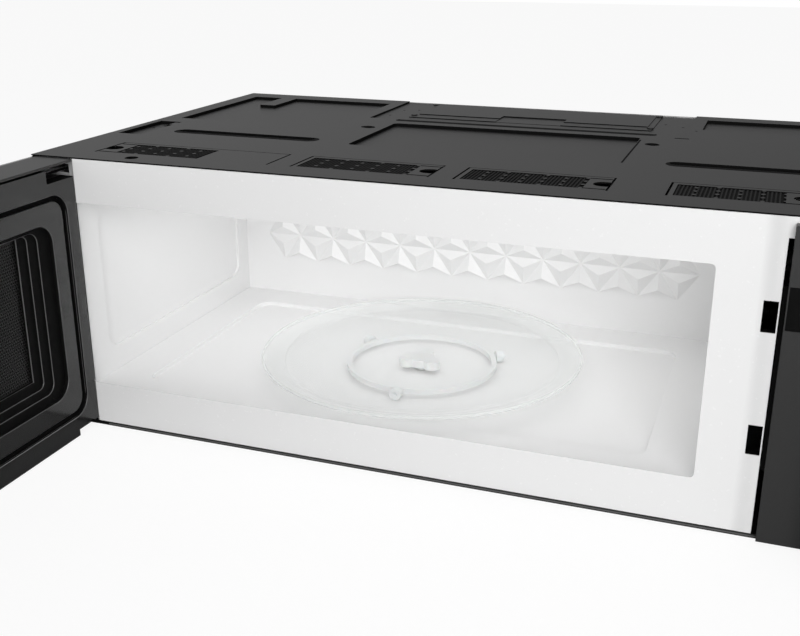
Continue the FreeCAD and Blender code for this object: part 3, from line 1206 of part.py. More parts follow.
coil = unique("Part::Feature", "coil")
spring_shape = spring(7, number(wire_radius), number(coil_radius), number(spring_height))
spring_shape.translate(FreeCAD.Vector(number(f"{latch_x} + ({latch_width}) / 2"),
                                      number(f"{latch_front} + {latch_thickness} / 2"),
                                      number(f"{latch_top} + slide_gap + {wire_radius}")))
coil.Shape = spring_shape
node(group(coil), "latch_spring", door=True)

# ---------------------------------------------------------------- check and write
document.recompute()
problems = [f"{thing.Name}: {thing.State}" for thing in document.Objects
            if "Invalid" in thing.State or "Error" in thing.State]
for piece in NODES:
    if piece.Shape.isNull() or not piece.Shape.isValid():
        problems.append(f"{piece.Label}: shape is null or not valid")
if problems:
    raise RuntimeError("; ".join(problems))
os.makedirs("parts", exist_ok=True)
for piece in NODES:
    piece.Shape.exportStep(f"parts/{piece.Label}.step")
print(len(NODES), "nodes written")
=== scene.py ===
import json
import math

import bmesh
import bpy
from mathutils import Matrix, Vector


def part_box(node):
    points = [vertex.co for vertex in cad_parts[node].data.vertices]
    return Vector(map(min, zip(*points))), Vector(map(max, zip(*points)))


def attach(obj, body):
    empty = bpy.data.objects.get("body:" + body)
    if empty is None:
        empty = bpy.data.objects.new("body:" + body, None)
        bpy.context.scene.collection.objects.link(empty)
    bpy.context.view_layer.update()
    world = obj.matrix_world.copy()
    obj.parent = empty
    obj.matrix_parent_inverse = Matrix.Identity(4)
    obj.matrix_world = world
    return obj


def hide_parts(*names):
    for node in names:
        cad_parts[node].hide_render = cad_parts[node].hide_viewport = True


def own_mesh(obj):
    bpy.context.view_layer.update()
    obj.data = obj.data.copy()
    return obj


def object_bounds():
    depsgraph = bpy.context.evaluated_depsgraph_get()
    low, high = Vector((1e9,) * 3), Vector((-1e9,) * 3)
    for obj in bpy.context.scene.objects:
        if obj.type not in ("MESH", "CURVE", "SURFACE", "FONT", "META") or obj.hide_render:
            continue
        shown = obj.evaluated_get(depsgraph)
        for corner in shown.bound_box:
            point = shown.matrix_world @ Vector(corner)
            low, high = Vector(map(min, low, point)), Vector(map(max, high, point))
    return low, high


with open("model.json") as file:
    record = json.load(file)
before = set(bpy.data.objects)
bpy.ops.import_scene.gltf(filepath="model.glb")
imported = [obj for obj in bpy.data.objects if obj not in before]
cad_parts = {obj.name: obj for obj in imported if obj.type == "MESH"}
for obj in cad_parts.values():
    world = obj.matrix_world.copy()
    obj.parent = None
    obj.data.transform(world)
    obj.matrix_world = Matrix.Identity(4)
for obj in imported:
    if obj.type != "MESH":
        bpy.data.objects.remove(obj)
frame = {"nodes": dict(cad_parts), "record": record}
box_of_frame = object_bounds()

# ---- Front frame
# One enamelled sheet closes the cabinet front around the cavity opening.
# It is pressed with a soft radius at every edge and fired glossy white.


class Value:
    """A shader socket that takes part in sums; each sum adds its Math node."""

    def __init__(self, paint, socket):
        self.paint, self.socket = paint, socket

    def _sum(self, operation, *terms):
        return self.paint.node("ShaderNodeMath", {"operation": operation}, dict(enumerate(terms)))

    def __add__(self, other):
        return self._sum("ADD", self, other)

    def __sub__(self, other):
        return self._sum("SUBTRACT", self, other)

    def __rsub__(self, other):
        return self._sum("SUBTRACT", other, self)

    def __mul__(self, other):
        return self._sum("MULTIPLY", self, other)

    def __truediv__(self, other):
        return self._sum("DIVIDE", self, other)

    def __mod__(self, other):
        return self._sum("FLOORED_MODULO", self, other)

    def __lt__(self, other):
        return self._sum("LESS_THAN", self, other)

    def __gt__(self, other):
        return self._sum("GREATER_THAN", self, other)

    def __pow__(self, other):
        return self._sum("POWER", self, other)

    __radd__, __rmul__ = __add__, __mul__


class Paint:
    """A surface finish: one Principled shader with plain settings and the nodes that vary it."""

    def __init__(self, name, **settings):
        self.material = bpy.data.materials.new(name)
        self.material.use_nodes = True
        self.nodes = self.material.node_tree.nodes
        self.links = self.material.node_tree.links
        self.shader = self.nodes["Principled BSDF"]
        for words, value in settings.items():
            title = words.replace("_", " ").title().replace("Ior", "IOR")
            self.shader.inputs[title].default_value = value

    def node(self, kind, settings, sockets, output=0):
        made = self.nodes.new(kind)
        for word, value in settings.items():
            setattr(made, word, value)
        for key, value in sockets.items():
            if isinstance(value, Value):
                self.links.new(value.socket, made.inputs[key])
            else:
                made.inputs[key].default_value = value
        return Value(self, made.outputs[output])

    def place(self):
        return self.node("ShaderNodeTexCoord", {}, {}, "Object")

    def noise(self, scale, detail=2.0):
        return self.node("ShaderNodeTexNoise", {},
                         {"Vector": self.place(), "Scale": scale, "Detail": detail})

    def axis(self, letter, of=None):
        return self.node("ShaderNodeSeparateXYZ", {}, {0: of or self.place()}, "XYZ".index(letter))

    def blend(self, factor, first, second):
        return self.node("ShaderNodeMix", {"data_type": "RGBA"}, {0: factor, 6: first, 7: second}, 2)

    def feed(self, socket, value):
        self.links.new(value.socket, self.shader.inputs[socket])

    def bump(self, height, depth, strength=1.0):
        self.feed("Normal", self.node("ShaderNodeBump", {},
                                      {"Height": height, "Distance": depth, "Strength": strength}))


SLOT_OF = {entry["node"]: entry["material_slot"] for entry in frame["record"]["subparts"]}
BODY_OF = {node: body for body, nodes in frame["record"]["behaviour"]["bodies"].items()
           for node in nodes}
MM = 0.001


def grey(tone, alpha=1.0):
    return (tone, tone, tone, alpha)


def select_only(*pieces):
    bpy.ops.object.select_all(action="DESELECT")
    for piece in pieces:
        piece.select_set(True)
    bpy.context.view_layer.objects.active = pieces[0]


def paint_node(paint, *nodes):
    """Give CAD nodes a finish in place of their plain one."""
    for name in nodes:
        materials = frame["nodes"][name].data.materials
        materials.clear()
        materials.append(paint.material)


def modify(piece, kind, **settings):
    """Add a modifier and apply it at once."""
    select_only(piece)
    modifier = piece.modifiers.new(kind.lower(), kind)
    for word, value in settings.items():
        setattr(modifier, word, value)
    bpy.ops.object.modifier_apply(modifier=modifier.name)


def hand_over(piece, paint, body, slot, *nodes, angle=30):
    """Smooth a finished piece, paint it and let it ride its body in place of its CAD nodes."""
    select_only(piece)
    bpy.ops.object.shade_smooth_by_angle(angle=math.radians(angle))
    modify(piece, "WEIGHTED_NORMAL", keep_sharp=True)
    piece.data.materials.clear()
    piece.data.materials.append(paint.material)
    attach(piece, body)
    if nodes:
        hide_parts(*nodes)


def merged_copy(node, name):
    """A copy of a CAD node's mesh with its loose triangles joined into flat faces."""
    source = frame["nodes"][node]
    piece = bpy.data.objects.new(name, source.data.copy())
    bpy.context.collection.objects.link(piece)
    select_only(piece)
    bpy.ops.object.mode_set(mode="EDIT")
    bpy.ops.mesh.select_all(action="SELECT")
    bpy.ops.mesh.remove_doubles(threshold=0.00001)
    bpy.ops.mesh.dissolve_limited(angle_limit=math.radians(0.5))
    bpy.ops.object.mode_set(mode="OBJECT")
    return piece


def repaint(piece, paint, test):
    """Give the faces whose middle and normal pass a test another finish."""
    piece.data.materials.append(paint.material)
    for face in piece.data.polygons:
        if test(face.center, face.normal):
            face.material_index = len(piece.data.materials) - 1


def softened(node, paint, width, segments=2, angle=40):
    """Stand a copy of a CAD node in its place, with its sharp edges rounded."""
    piece = merged_copy(node, node + "_formed")
    modify(piece, "BEVEL", width=width, segments=segments, limit_method="ANGLE",
           angle_limit=math.radians(angle))
    hand_over(piece, paint, BODY_OF[node], SLOT_OF[node], node)
    return piece


enamel = Paint("white_enamel", coat_weight=0.4, coat_roughness=0.08)
enamel_tone = enamel.blend(enamel.noise(700.0), grey(0.87), grey(0.88))
enamel.feed("Roughness", enamel.noise(300.0) * 0.02 + 0.26)
rolled_from, rolled_to = 0.253, 0.271
edge_roll = enamel.node("ShaderNodeMapRange", {"interpolation_type": "SMOOTHSTEP"},
                        {"Value": enamel.axis("X"), 1: rolled_from, 2: rolled_to})
enamel.bump(edge_roll, 6 * MM)
# The frame's corner behind the upper hinge is painted near black as shade, with a pale band painted
# across it as the hinge leaf's highlight.
corner_edge, corner_bottom, corner_top = -0.340, 0.090, 0.122
leaf_bottom, leaf_top = 0.107, 0.114
height_on_frame = enamel.axis("Z")
hinge_corner_painted_shade = ((enamel.axis("X") < corner_edge) * (height_on_frame > corner_bottom)
                * (height_on_frame < corner_top))
hinge_leaf_painted_highlight = (height_on_frame > leaf_bottom) * (height_on_frame < leaf_top)
corner_painted_tone = enamel.blend(hinge_leaf_painted_highlight, grey(0.01), grey(0.70))
enamel.feed("Base Color", enamel.blend(hinge_corner_painted_shade, enamel_tone, corner_painted_tone))
# Paler enamel on the rounded edges round the opening is a painted highlight.
opening_edge_painted_highlight = Paint("enamel_painted_highlight", coat_weight=0.4, coat_roughness=0.08)
opening_edge_painted_highlight.feed("Base Color", opening_edge_painted_highlight.blend(opening_edge_painted_highlight.noise(700.0), grey(0.95), grey(0.97)))
opening_edge_painted_highlight.feed("Roughness", opening_edge_painted_highlight.noise(300.0) * 0.02 + 0.26)
repaint(softened("front_frame", enamel, 0.7 * MM, segments=3), opening_edge_painted_highlight,
        lambda middle, normal: -0.95 < normal.y < -0.3 and middle.x > corner_edge)

# ---- Cooking cavity
# Five welded sheets under a satin light enamel: floor and left wall carry
# pressed panels, the back wall a band of pressed pyramids.
cavity_enamel = Paint("cavity_enamel", coat_weight=0.15, coat_roughness=0.2)
cavity_waves = cavity_enamel.noise(140.0)
cavity_enamel.feed("Base Color", cavity_enamel.blend(cavity_enamel.noise(600.0), grey(0.86), grey(0.88)))
cavity_enamel.feed("Roughness", cavity_waves * 0.1 + 0.36)
cavity_enamel.bump(cavity_waves, 0.0001, 0.05)
for sheet in ("cavity_floor", "cavity_left_wall"):
    softened(sheet, cavity_enamel, 0.7 * MM, segments=3)
paint_node(cavity_enamel, "cavity_ceiling", "cavity_right_wall", "cavity_back_wall")

# ---- Top cover and side panels
# Sheet steel under a dark satin coat with a fine grain. The cover is stiffened
# by pressed trays and grooves, whose steep walls and groove floors are painted near black as shade.
dark_coat = Paint("dark_coat", coat_weight=0.05, coat_roughness=0.3)
coat_grain = dark_coat.noise(2200.0, 3.0)
dark_coat.feed("Base Color", dark_coat.blend(dark_coat.noise(14.0), grey(0.019), grey(0.023)))
dark_coat.feed("Roughness", coat_grain * 0.12 + 0.42)
dark_coat.bump(coat_grain, 0.00005, 0.2)
# A near-black finish for painted shade, given to walls, floors and parts that sit in shade.
painted_shade_black = Paint("painted_shade_black", specular_ior_level=0.1)
painted_shade_black.feed("Base Color", painted_shade_black.blend(painted_shade_black.noise(300.0), grey(0.002), grey(0.004)))
painted_shade_black.feed("Roughness", painted_shade_black.noise(600.0) * 0.1 + 0.7)
cover_low, cover_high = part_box("top_cover")


def on_cover(x, y, depth=0.0):
    """A point in mm from the cover's left and front edges and below its top."""
    return Vector((cover_low[0] + x * MM, cover_low[1] + y * MM, cover_high[2] - depth * MM))


def block(name, corner, far_corner):
    """A rectangular start for a piece, from two opposite corners."""
    bpy.ops.object.select_all(action="DESELECT")
    bpy.ops.mesh.primitive_cube_add(size=1.0, location=(corner + far_corner) / 2)
    piece = bpy.context.object
    piece.name = name
    piece.scale = [abs(side) for side in far_corner - corner]
    bpy.ops.object.transform_apply(location=True, rotation=True, scale=True)
    return piece


def cut_away(cutter, *pieces):
    """Cut a tool's shape out of pieces, then put the tool away."""
    for piece in pieces:
        modify(piece, "BOOLEAN", object=cutter, operation="DIFFERENCE", solver="MANIFOLD")
    bpy.data.objects.remove(cutter)


def round_edges(piece, width, segments=2, angle=40):
    modify(piece, "BEVEL", width=width, segments=segments, limit_method="ANGLE",
           angle_limit=math.radians(angle))


def rounded_block(name, corner, far_corner, radius, along=2):
    """A block whose four edges along one axis are rounded."""
    piece = block(name, corner, far_corner)
    bpy.ops.object.mode_set(mode="EDIT")
    bpy.ops.mesh.select_all(action="DESELECT")
    shape = bmesh.from_edit_mesh(piece.data)
    for edge in shape.edges:
        if abs((edge.verts[0].co - edge.verts[1].co).normalized()[along]) > 0.9:
            edge.select_set(True)
    bmesh.update_edit_mesh(piece.data)
    bpy.ops.mesh.bevel(offset=radius * MM, segments=8, affect="EDGES")
    bpy.ops.object.mode_set(mode="OBJECT")
    return piece


# Each vent: its outline's two ends, its slats' two ends, and the end of the slats
# that has the finger hole. The inner two are the lift-out grilles.
vent_front, vent_back, vent_seam = 30.5, 79.0, 0.9
VENTS = {"vent_outer_left": (46.5, 220.0, 66.0, 150.5, "left"),
         "vent_inner_left": (242.5, 365.5, 247.0, 346.5, "right"),
         "vent_inner_right": (387.5, 510.5, 392.0, 491.5, "right"),
         "vent_outer_right": (555.5, 729.0, 560.0, 641.0, "right")}
cover = merged_copy("top_cover", "cover_sheet")
sheet_through = 2.5
for outline_left, outline_right, *_ in VENTS.values():
    cut_away(block("window", on_cover(outline_left - vent_seam, vent_front, -sheet_through),
                   on_cover(outline_right + vent_seam, vent_back, sheet_through)), cover)
# Cuts whose floors are painted near black as shade: shallow bands along the two long grooves and the one
# before the blower plate, a line for the shade on the middle tray's rolled right edge, a slit beside it
# and the two nut holes.
edge_depth = 0.2
for corner, far_corner, radius in (
        ((56.0, 142.5, edge_depth), (214.0, 163.2, -1.0), 10.2),
        ((541.0, 142.5, edge_depth), (699.5, 163.2, -1.0), 10.2),
        ((242.0, 286.5, edge_depth), (516.5, 299.0, -1.0), 6.1),
        ((504.0, 143.0, edge_depth), (505.8, 261.0, -1.0), 0.5),
        ((534.5, 279.5, 2.4), (548.5, 283.0, -1.0), 0.8),
        ((223.0, 233.7, edge_depth), (236.0, 246.7, -1.0), 6.4),
        ((511.5, 233.7, edge_depth), (524.5, 246.7, -1.0), 6.4)):
    cut_away(rounded_block("groove", on_cover(*corner), on_cover(*far_corner), radius), cover)
pocket_hole_radius, pocket_floor_depth = 1.6, 3.3
for spot in ((15.0, 176.0), (20.0, 190.0), (29.0, 168.0)):
    bpy.ops.object.select_all(action="DESELECT")
    bpy.ops.mesh.primitive_cylinder_add(vertices=16, radius=pocket_hole_radius * MM, depth=4 * MM,
                                        location=on_cover(*spot, pocket_floor_depth))
    cut_away(bpy.context.object, cover)
round_edges(cover, 0.25 * MM)
hand_over(cover, dark_coat, "cabinet", SLOT_OF["top_cover"], "top_cover")
PAINTED_SHADE_DEPTHS = ((0.15, 0.25), (2.1, 2.5))


def in_shadow(middle, normal):
    """Steep walls and the floors of grooves, painted near black as shade."""
    depth = (cover_high[2] - middle.z) / MM
    return normal.z < 0.6 or any(start < depth < end for start, end in PAINTED_SHADE_DEPTHS)


repaint(cover, painted_shade_black, in_shadow)
paint_node(dark_coat, "left_side_panel", "right_side_panel")
pan_coat = Paint("pan_coat", coat_weight=0.05, coat_roughness=0.3)
pan_low, pan_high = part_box("base_pan")
pan_height = (pan_coat.axis("Z") - pan_low[2]) / (pan_high[2] - pan_low[2])
# A paler band across the pan's front flange, between two dark ones, is a painted highlight of its
# rounded edge.
highlight_band_bottom, highlight_band_top = 0.3, 0.62
hem_painted_highlight = ((pan_height > highlight_band_bottom) * (pan_height < highlight_band_top)
       * (pan_coat.axis("Y") < pan_low[1] + 1 * MM))
pan_tone = pan_coat.blend(pan_coat.noise(14.0), grey(0.012), grey(0.016))
pan_coat.feed("Base Color", pan_coat.blend(hem_painted_highlight, pan_tone, grey(0.10)))
pan_coat.feed("Roughness", pan_coat.noise(2200.0, 3.0) * 0.12 + 0.42)
paint_node(pan_coat, "base_pan")

# ---- Blower cover plate
# A screwed plate over the blower: a low border, a raised field and a sunk seat
# for the damper's tongue. Coated like the cover.
plate_low, plate_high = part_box("blower_cover_plate")
border_level = plate_low[2] + 0.8 * MM
field_inset, field_front_inset, field_back_inset = 6.0 * MM, 18.5 * MM, 8.0 * MM
plate = block("blower_plate", plate_low, Vector((plate_high[0], plate_high[1], border_level)))
field = block("field", Vector((plate_low[0] + field_inset, plate_low[1] + field_front_inset,
                               border_level - 0.4 * MM)),
              Vector((plate_high[0] - field_inset, plate_high[1] - field_back_inset, plate_high[2])))
modify(plate, "BOOLEAN", object=field, operation="UNION", solver="EXACT")
bpy.data.objects.remove(field)
seat_left, seat_right, seat_back = -33.0 * MM, 37.0 * MM, -68.0 * MM
cut_away(block("seat", Vector((seat_left, plate_low[1] - 0.01, plate_low[2] + 0.3 * MM)),
               Vector((seat_right, seat_back, plate_high[2] + 0.01))), plate)
round_edges(plate, 0.15 * MM)
hand_over(plate, dark_coat, "cabinet", SLOT_OF["blower_cover_plate"], "blower_cover_plate")
# The plate's steep walls are painted near black as shade.
repaint(plate, painted_shade_black, lambda middle, normal: normal.z < 0.6)

# ---- Pocket tab
# A small tongue of the cover sheet, bent up at the back of the side pocket.
tab = block("pocket_tab", on_cover(24.0, 186.0, 1.4), on_cover(33.0, 199.0, 0.5))
bpy.ops.object.mode_set(mode="EDIT")
bpy.ops.mesh.select_all(action="SELECT")
bpy.ops.mesh.bisect(plane_co=on_cover(27.5, 190.0), plane_no=(1, 0, 0))
bpy.ops.mesh.select_all(action="DESELECT")
bend = bmesh.from_edit_mesh(tab.data)
for corner in bend.verts:
    corner.select_set(corner.co.x < on_cover(25.0, 0).x)
bend.select_flush(True)
bpy.ops.transform.translate(value=(0, 0, -1.6 * MM))
bpy.ops.object.mode_set(mode="OBJECT")
round_edges(tab, 0.15 * MM)
hand_over(tab, dark_coat, "cabinet", SLOT_OF["top_cover"])
# The tab's steep walls are painted near black as shade.
repaint(tab, painted_shade_black, lambda middle, normal: normal.z < 0.6)

# ---- Vents
# Four slatted panels in the cover's front. Each is a pressed plate with a sunk
# field of thin black slats, staggered bosses and a bullet-shaped finger hole.
vent_black = Paint("vent_black", specular_ior_level=0.2)
vent_black.feed("Base Color", vent_black.blend(vent_black.noise(400.0), grey(0.006), grey(0.010)))
vent_black.feed("Roughness", vent_black.noise(900.0) * 0.1 + 0.6)
plate_depth, field_depth, slat_top, boss_radius = 1.5, 1.0, 0.45, 1.9
field_front, field_back, slat_pitch, slat_width = 33.0, 72.8, 3.0, 1.3
boss_pitch_x, boss_pitch_y, first_boss_y = 16.5, 12.0, 35.2
hole_radius, hole_centre, hole_end, hole_y, slit_width = 8.2, 13.4, 19.0, 52.6, 2.4


def pick(piece, test):
    """Select only the faces whose middle and normal pass a test."""
    bpy.ops.mesh.select_all(action="DESELECT")
    shape = bmesh.from_edit_mesh(piece.data)
    for face in shape.faces:
        if test(face.calc_center_median(), face.normal):
            face.select_set(True)
    bmesh.update_edit_mesh(piece.data)


def sink_field(piece, corner, far_corner, depth):
    """Press the field between two corners down into a panel's top."""
    bpy.ops.object.mode_set(mode="EDIT")
    for side, direction in ((corner, (1, 0, 0)), (far_corner, (1, 0, 0)),
                            (corner, (0, 1, 0)), (far_corner, (0, 1, 0))):
        bpy.ops.mesh.select_all(action="SELECT")
        bpy.ops.mesh.bisect(plane_co=side, plane_no=direction)
    pick(piece, lambda middle, normal: normal.z > 0.9 and corner.x < middle.x < far_corner.x
         and corner.y < middle.y < far_corner.y)
    bpy.ops.mesh.extrude_region_move(TRANSFORM_OT_translate={"value": (0, 0, -depth)})
    bpy.ops.object.mode_set(mode="OBJECT")


def repeated(piece, count, step):
    modify(piece, "ARRAY", count=count, use_relative_offset=False, use_constant_offset=True,
           constant_offset_displace=step)


def merge_into(piece, *others):
    select_only(piece, *others)
    bpy.ops.object.join()


def disc(x, y, radius, top, bottom, sides=24):
    """A short upright cylinder from two depths below the cover's top."""
    bpy.ops.object.select_all(action="DESELECT")
    bpy.ops.mesh.primitive_cylinder_add(vertices=sides, radius=radius * MM, depth=(bottom - top) * MM,
                                        location=on_cover(x, y, (top + bottom) / 2))
    bpy.ops.object.transform_apply(location=True)
    return bpy.context.object


for name, (outline_left, outline_right, slats_left, slats_right, hole_side) in VENTS.items():
    panel = block(name, on_cover(outline_left + vent_seam, vent_front + 0.2, 0.05),
                  on_cover(outline_right - vent_seam, vent_back - vent_seam, plate_depth))
    sink_field(panel, on_cover(slats_left, field_front), on_cover(slats_right, field_back),
               field_depth * MM)
    slats_end, away = (slats_left, -1) if hole_side == "left" else (slats_right, 1)
    cut_away(disc(slats_end + away * hole_centre, hole_y, hole_radius, -1, 3, sides=40), panel)
    for near_y, far_y, start, depth in (
            (hole_y - hole_radius, hole_y + hole_radius, hole_centre, plate_depth + 1),
            (field_front, field_front + slit_width, -0.5, field_depth),
            (field_back - slit_width, field_back, -0.5, field_depth)):
        cut_away(block("cut", on_cover(slats_end + away * start, near_y, -1),
                       on_cover(slats_end + away * (hole_end - 1.2), far_y, depth)), panel)
    round_edges(panel, 0.12 * MM)
    slats = block(name + "_slats", on_cover(slats_left + 1, field_front + 0.6, field_depth),
                  on_cover(slats_left + 1 + slat_width, field_back - 0.6, slat_top))
    round_edges(slats, 0.15 * MM)
    repeated(slats, int((slats_right - slats_left - 1) / slat_pitch), (slat_pitch * MM, 0, 0))
    first_boss = slats_left + (4.0 if hole_side == "left" else 15.0)
    boss_columns = int((slats_right - first_boss) / boss_pitch_x) + 1
    bosses = []
    for phase, rows in ((0, 3), (1, 4)):
        boss = disc(first_boss + phase * boss_pitch_x,
                    first_boss_y + (1 - phase) * boss_pitch_y / 2, boss_radius, 0.1, field_depth, 16)
        round_edges(boss, 0.2 * MM)
        repeated(boss, (boss_columns + 1 - phase) // 2, (2 * boss_pitch_x * MM, 0, 0))
        repeated(boss, rows, (0, boss_pitch_y * MM, 0))
        bosses.append(boss)
    merge_into(panel, *bosses)
    replaced = {"vent_inner_left": ["vent_grille_left"],
                "vent_inner_right": ["vent_grille_right"]}.get(name, [])
    hand_over(panel, dark_coat, "cabinet", SLOT_OF["vent_grille_left"], *replaced)
    # The panel's walls and its sunk field are painted near black as shade.
    repaint(panel, painted_shade_black, lambda middle, normal: normal.z < 0.6
            or middle.z < on_cover(0, 0, field_depth - 0.1).z)
    hand_over(slats, vent_black, "cabinet", SLOT_OF["vent_grille_left"])

# ---- Zinc-coated sheet parts
# Back panel, ducts, brackets and motor cans are plain zinc-coated steel with
# the soft blotches of its spangle.
zinc = Paint("zinc_sheet", metallic=1.0)
spangle = zinc.node("ShaderNodeTexVoronoi", {}, {"Vector": zinc.place(), "Scale": 90.0}, "Color")
zinc.feed("Base Color", zinc.blend(spangle, grey(0.46), grey(0.60)))
zinc.feed("Roughness", zinc.noise(120.0) * 0.15 + 0.33)
paint_node(zinc, "back_panel", "waveguide", "magnetron_fan_frame", "turntable_motor",
           "blower_housing", "door_choke")

# ---- Steel fittings
# Hinge brackets and the blower shaft are zinc-plated, the brackets with their upright sides
# painted near black as shade; the cover's screws are blackened steel, and the hanger nuts are painted
# near black as shade.
plated = Paint("plated_steel", metallic=1.0)
plated.feed("Base Color", plated.blend(plated.noise(200.0), grey(0.55), grey(0.66)))
plated.feed("Roughness", plated.noise(500.0) * 0.12 + 0.24)
# The brackets' upright sides are painted near black as shade, leaving their flat faces bright.
for fitting in ("upper_hinge_bracket", "lower_hinge_bracket"):
    repaint(softened(fitting, plated, 0.3 * MM), painted_shade_black,
            lambda middle, normal: abs(normal.z) < 0.3)
paint_node(plated, "blower_shaft")
# The latch spring rides the door as a merged copy with a mesh of its own.
spring = merged_copy("latch_spring", "latch_spring_formed")
hand_over(spring, plated, "door", SLOT_OF["latch_spring"], "latch_spring")
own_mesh(spring)
black_steel = Paint("blackened_steel", metallic=0.6)
black_steel.feed("Base Color", black_steel.blend(black_steel.noise(300.0), grey(0.02), grey(0.04)))
black_steel.feed("Roughness", black_steel.noise(500.0) * 0.1 + 0.42)
# The hanger nuts are painted near black as the shade in their holes.
for fitting, finish in (("plate_screws", black_steel), ("hanger_nuts", painted_shade_black)):
    softened(fitting, finish, 0.2 * MM)

# ---- Turntable
# A pressed clear glass tray on a three-lobed coupler, with a ring of three
# rollers between it and the floor. The mouldings are natural milky plastic.
milky = Paint("natural_plastic", subsurface_weight=0.1)
milky.feed("Base Color", milky.blend(milky.noise(60.0), grey(0.80), grey(0.84)))
milky.feed("Roughness", milky.noise(300.0) * 0.1 + 0.4)
for part in ("tray_coupler", "roller_ring", "roller_1", "roller_2", "roller_3"):
    softened(part, milky, 0.4 * MM, segments=3)
tray_low, tray_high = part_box("glass_tray")
tray_middle = Vector(((tray_low[0] + tray_high[0]) / 2, (tray_low[1] + tray_high[1]) / 2, tray_low[2]))
tray_radius = (tray_high[0] - tray_low[0]) / 2 / MM
# Steps of the tray's outline in mm: radius, then height above its base, from
# the middle of the underside round the rim to the middle of the top.
TRAY_STEPS = ((30.0, 0.0), (64.0, 0.0), (66.0, 0.4), (68.0, 0.0), (138.0, 0.0), (147.0, 3.6),
              (150.0, 4.5), (158.0, 4.5), (tray_radius, 5.5), (tray_radius, 7.2), (158.0, 8.0),
              (155.5, 7.6), (150.0, 7.6), (147.0, 7.9), (145.0, 7.0), (138.0, 4.0), (136.0, 3.5),
              (68.0, 3.5), (66.0, 3.9), (64.0, 3.5), (34.0, 3.5), (32.0, 3.0), (30.0, 3.0))
(start_radius, start_height), *further_steps = TRAY_STEPS
bpy.ops.object.select_all(action="DESELECT")
bpy.ops.mesh.primitive_circle_add(vertices=144, radius=start_radius * MM, fill_type="NGON",
                                  location=tray_middle)
tray = bpy.context.object
tray.name = "ringed_tray"
bpy.ops.object.transform_apply(location=True)
bpy.ops.object.mode_set(mode="EDIT")
bpy.ops.mesh.select_all(action="SELECT")
bpy.ops.mesh.region_to_loop()
for radius, height in further_steps:
    rise = (height - start_height) * MM
    bpy.ops.mesh.extrude_edges_move(TRANSFORM_OT_translate={"value": (0, 0, rise)})
    ratio = radius / start_radius
    if ratio != 1:
        bpy.ops.transform.resize(value=(ratio, ratio, 1), center_override=tray_middle)
    start_radius, start_height = radius, height
bpy.ops.mesh.edge_face_add()
bpy.ops.mesh.select_all(action="SELECT")
bpy.ops.mesh.normals_make_consistent(inside=False)
bpy.ops.object.mode_set(mode="OBJECT")
tray_glass = Paint("tray_glass", coat_weight=0.6, coat_roughness=0.02)
from_middle = tray_glass.node("ShaderNodeMapping", {}, {0: tray_glass.place(), 1: -tray_middle})
radius_squared = tray_glass.axis("X", from_middle) ** 2.0 + tray_glass.axis("Y", from_middle) ** 2.0
rim_from, edge_from = 136.5 * MM, 157.5 * MM
# The rim and the outer edge are more opaque, so the pale glass shows there as painted highlights.
rim = radius_squared > rim_from ** 2
edge = radius_squared > edge_from ** 2
tray_glass.feed("Base Color", tray_glass.blend(tray_glass.noise(30.0), (0.90, 0.93, 0.92, 1),
                                               (0.93, 0.95, 0.94, 1)))
tray_glass.feed("Alpha", rim * 0.10 + edge * 0.25 + 0.12)
tray_glass.feed("Roughness", tray_glass.noise(40.0) * 0.04 + 0.04)
hand_over(tray, tray_glass, "turntable", SLOT_OF["glass_tray"], "glass_tray")

# ---- Door frame and inner cover
# A moulded frame carries the glass; a glossy cover snaps into it from inside and
# steps down to the window. The bushes in its corners are natural plastic.
gloss = Paint("gloss_black", coat_weight=0.15, coat_roughness=0.04)
gloss.feed("Base Color", gloss.blend(gloss.noise(20.0), grey(0.010), grey(0.014)))
gloss.feed("Roughness", gloss.noise(90.0) * 0.05 + 0.16)
satin_black = Paint("satin_black")
satin_black.feed("Base Color", satin_black.blend(satin_black.noise(600.0), grey(0.020), grey(0.026)))
satin_black.feed("Roughness", satin_black.noise(700.0) * 0.1 + 0.38)
inner_cover = merged_copy("choke_cover", "inner_cover")
cover_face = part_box("choke_cover")[1][0]
groove_low, groove_high, groove_width, groove_sink = (-1053.4, -109.5), (-440.6, 101.8), 5.0, 5.5
ring = [rounded_block("ring", Vector((cover_face + 5 * MM, (groove_low[0] + inset) * MM,
                                      (groove_low[1] + inset) * MM)),
                      Vector((cover_face - groove_sink * MM, (groove_high[0] - inset) * MM,
                              (groove_high[1] - inset) * MM)), radius, along=0)
        for inset, radius in ((0, 19.0), (groove_width, 14.0))]
cut_away(ring[1], ring[0])
cut_away(ring[0], inner_cover)
# The edges of the groove and of the steps are broken. They lie level, within a
# border of the cover's outline, between a face towards the cavity and a wall.
select_only(inner_cover)
bpy.ops.object.mode_set(mode="EDIT")
bpy.ops.mesh.select_all(action="DESELECT")
border_low, border_high = (-1.060, -0.116), (-0.434, 0.1075)
cover_shape = bmesh.from_edit_mesh(inner_cover.data)
for step in cover_shape.edges:
    ends = [corner.co for corner in step.verts]
    sides = [face.normal.x for face in step.link_faces]
    level = abs(ends[0].x - ends[1].x) < 1e-5
    at_wall = step.is_convex and max(sides) > 0.98 and min(map(abs, sides)) < 0.1
    within = all(border_low[0] < end.y < border_high[0] and border_low[1] < end.z < border_high[1]
                 for end in ends)
    if level and at_wall and within:
        step.select_set(True)
bmesh.update_edit_mesh(inner_cover.data)
bpy.ops.mesh.bevel(offset=0.6 * MM, segments=1, affect="EDGES")
bpy.ops.object.mode_set(mode="OBJECT")
hand_over(inner_cover, gloss, "door", SLOT_OF["choke_cover"], "choke_cover")
upper_steps = 2.6 * MM
# The walls of the groove and steps, and every face below the upper steps, are painted near black as
# shade.
repaint(inner_cover, painted_shade_black, lambda middle, normal: abs(normal.x) < 0.3
        or middle.x < cover_face - upper_steps and normal.x > 0.98)
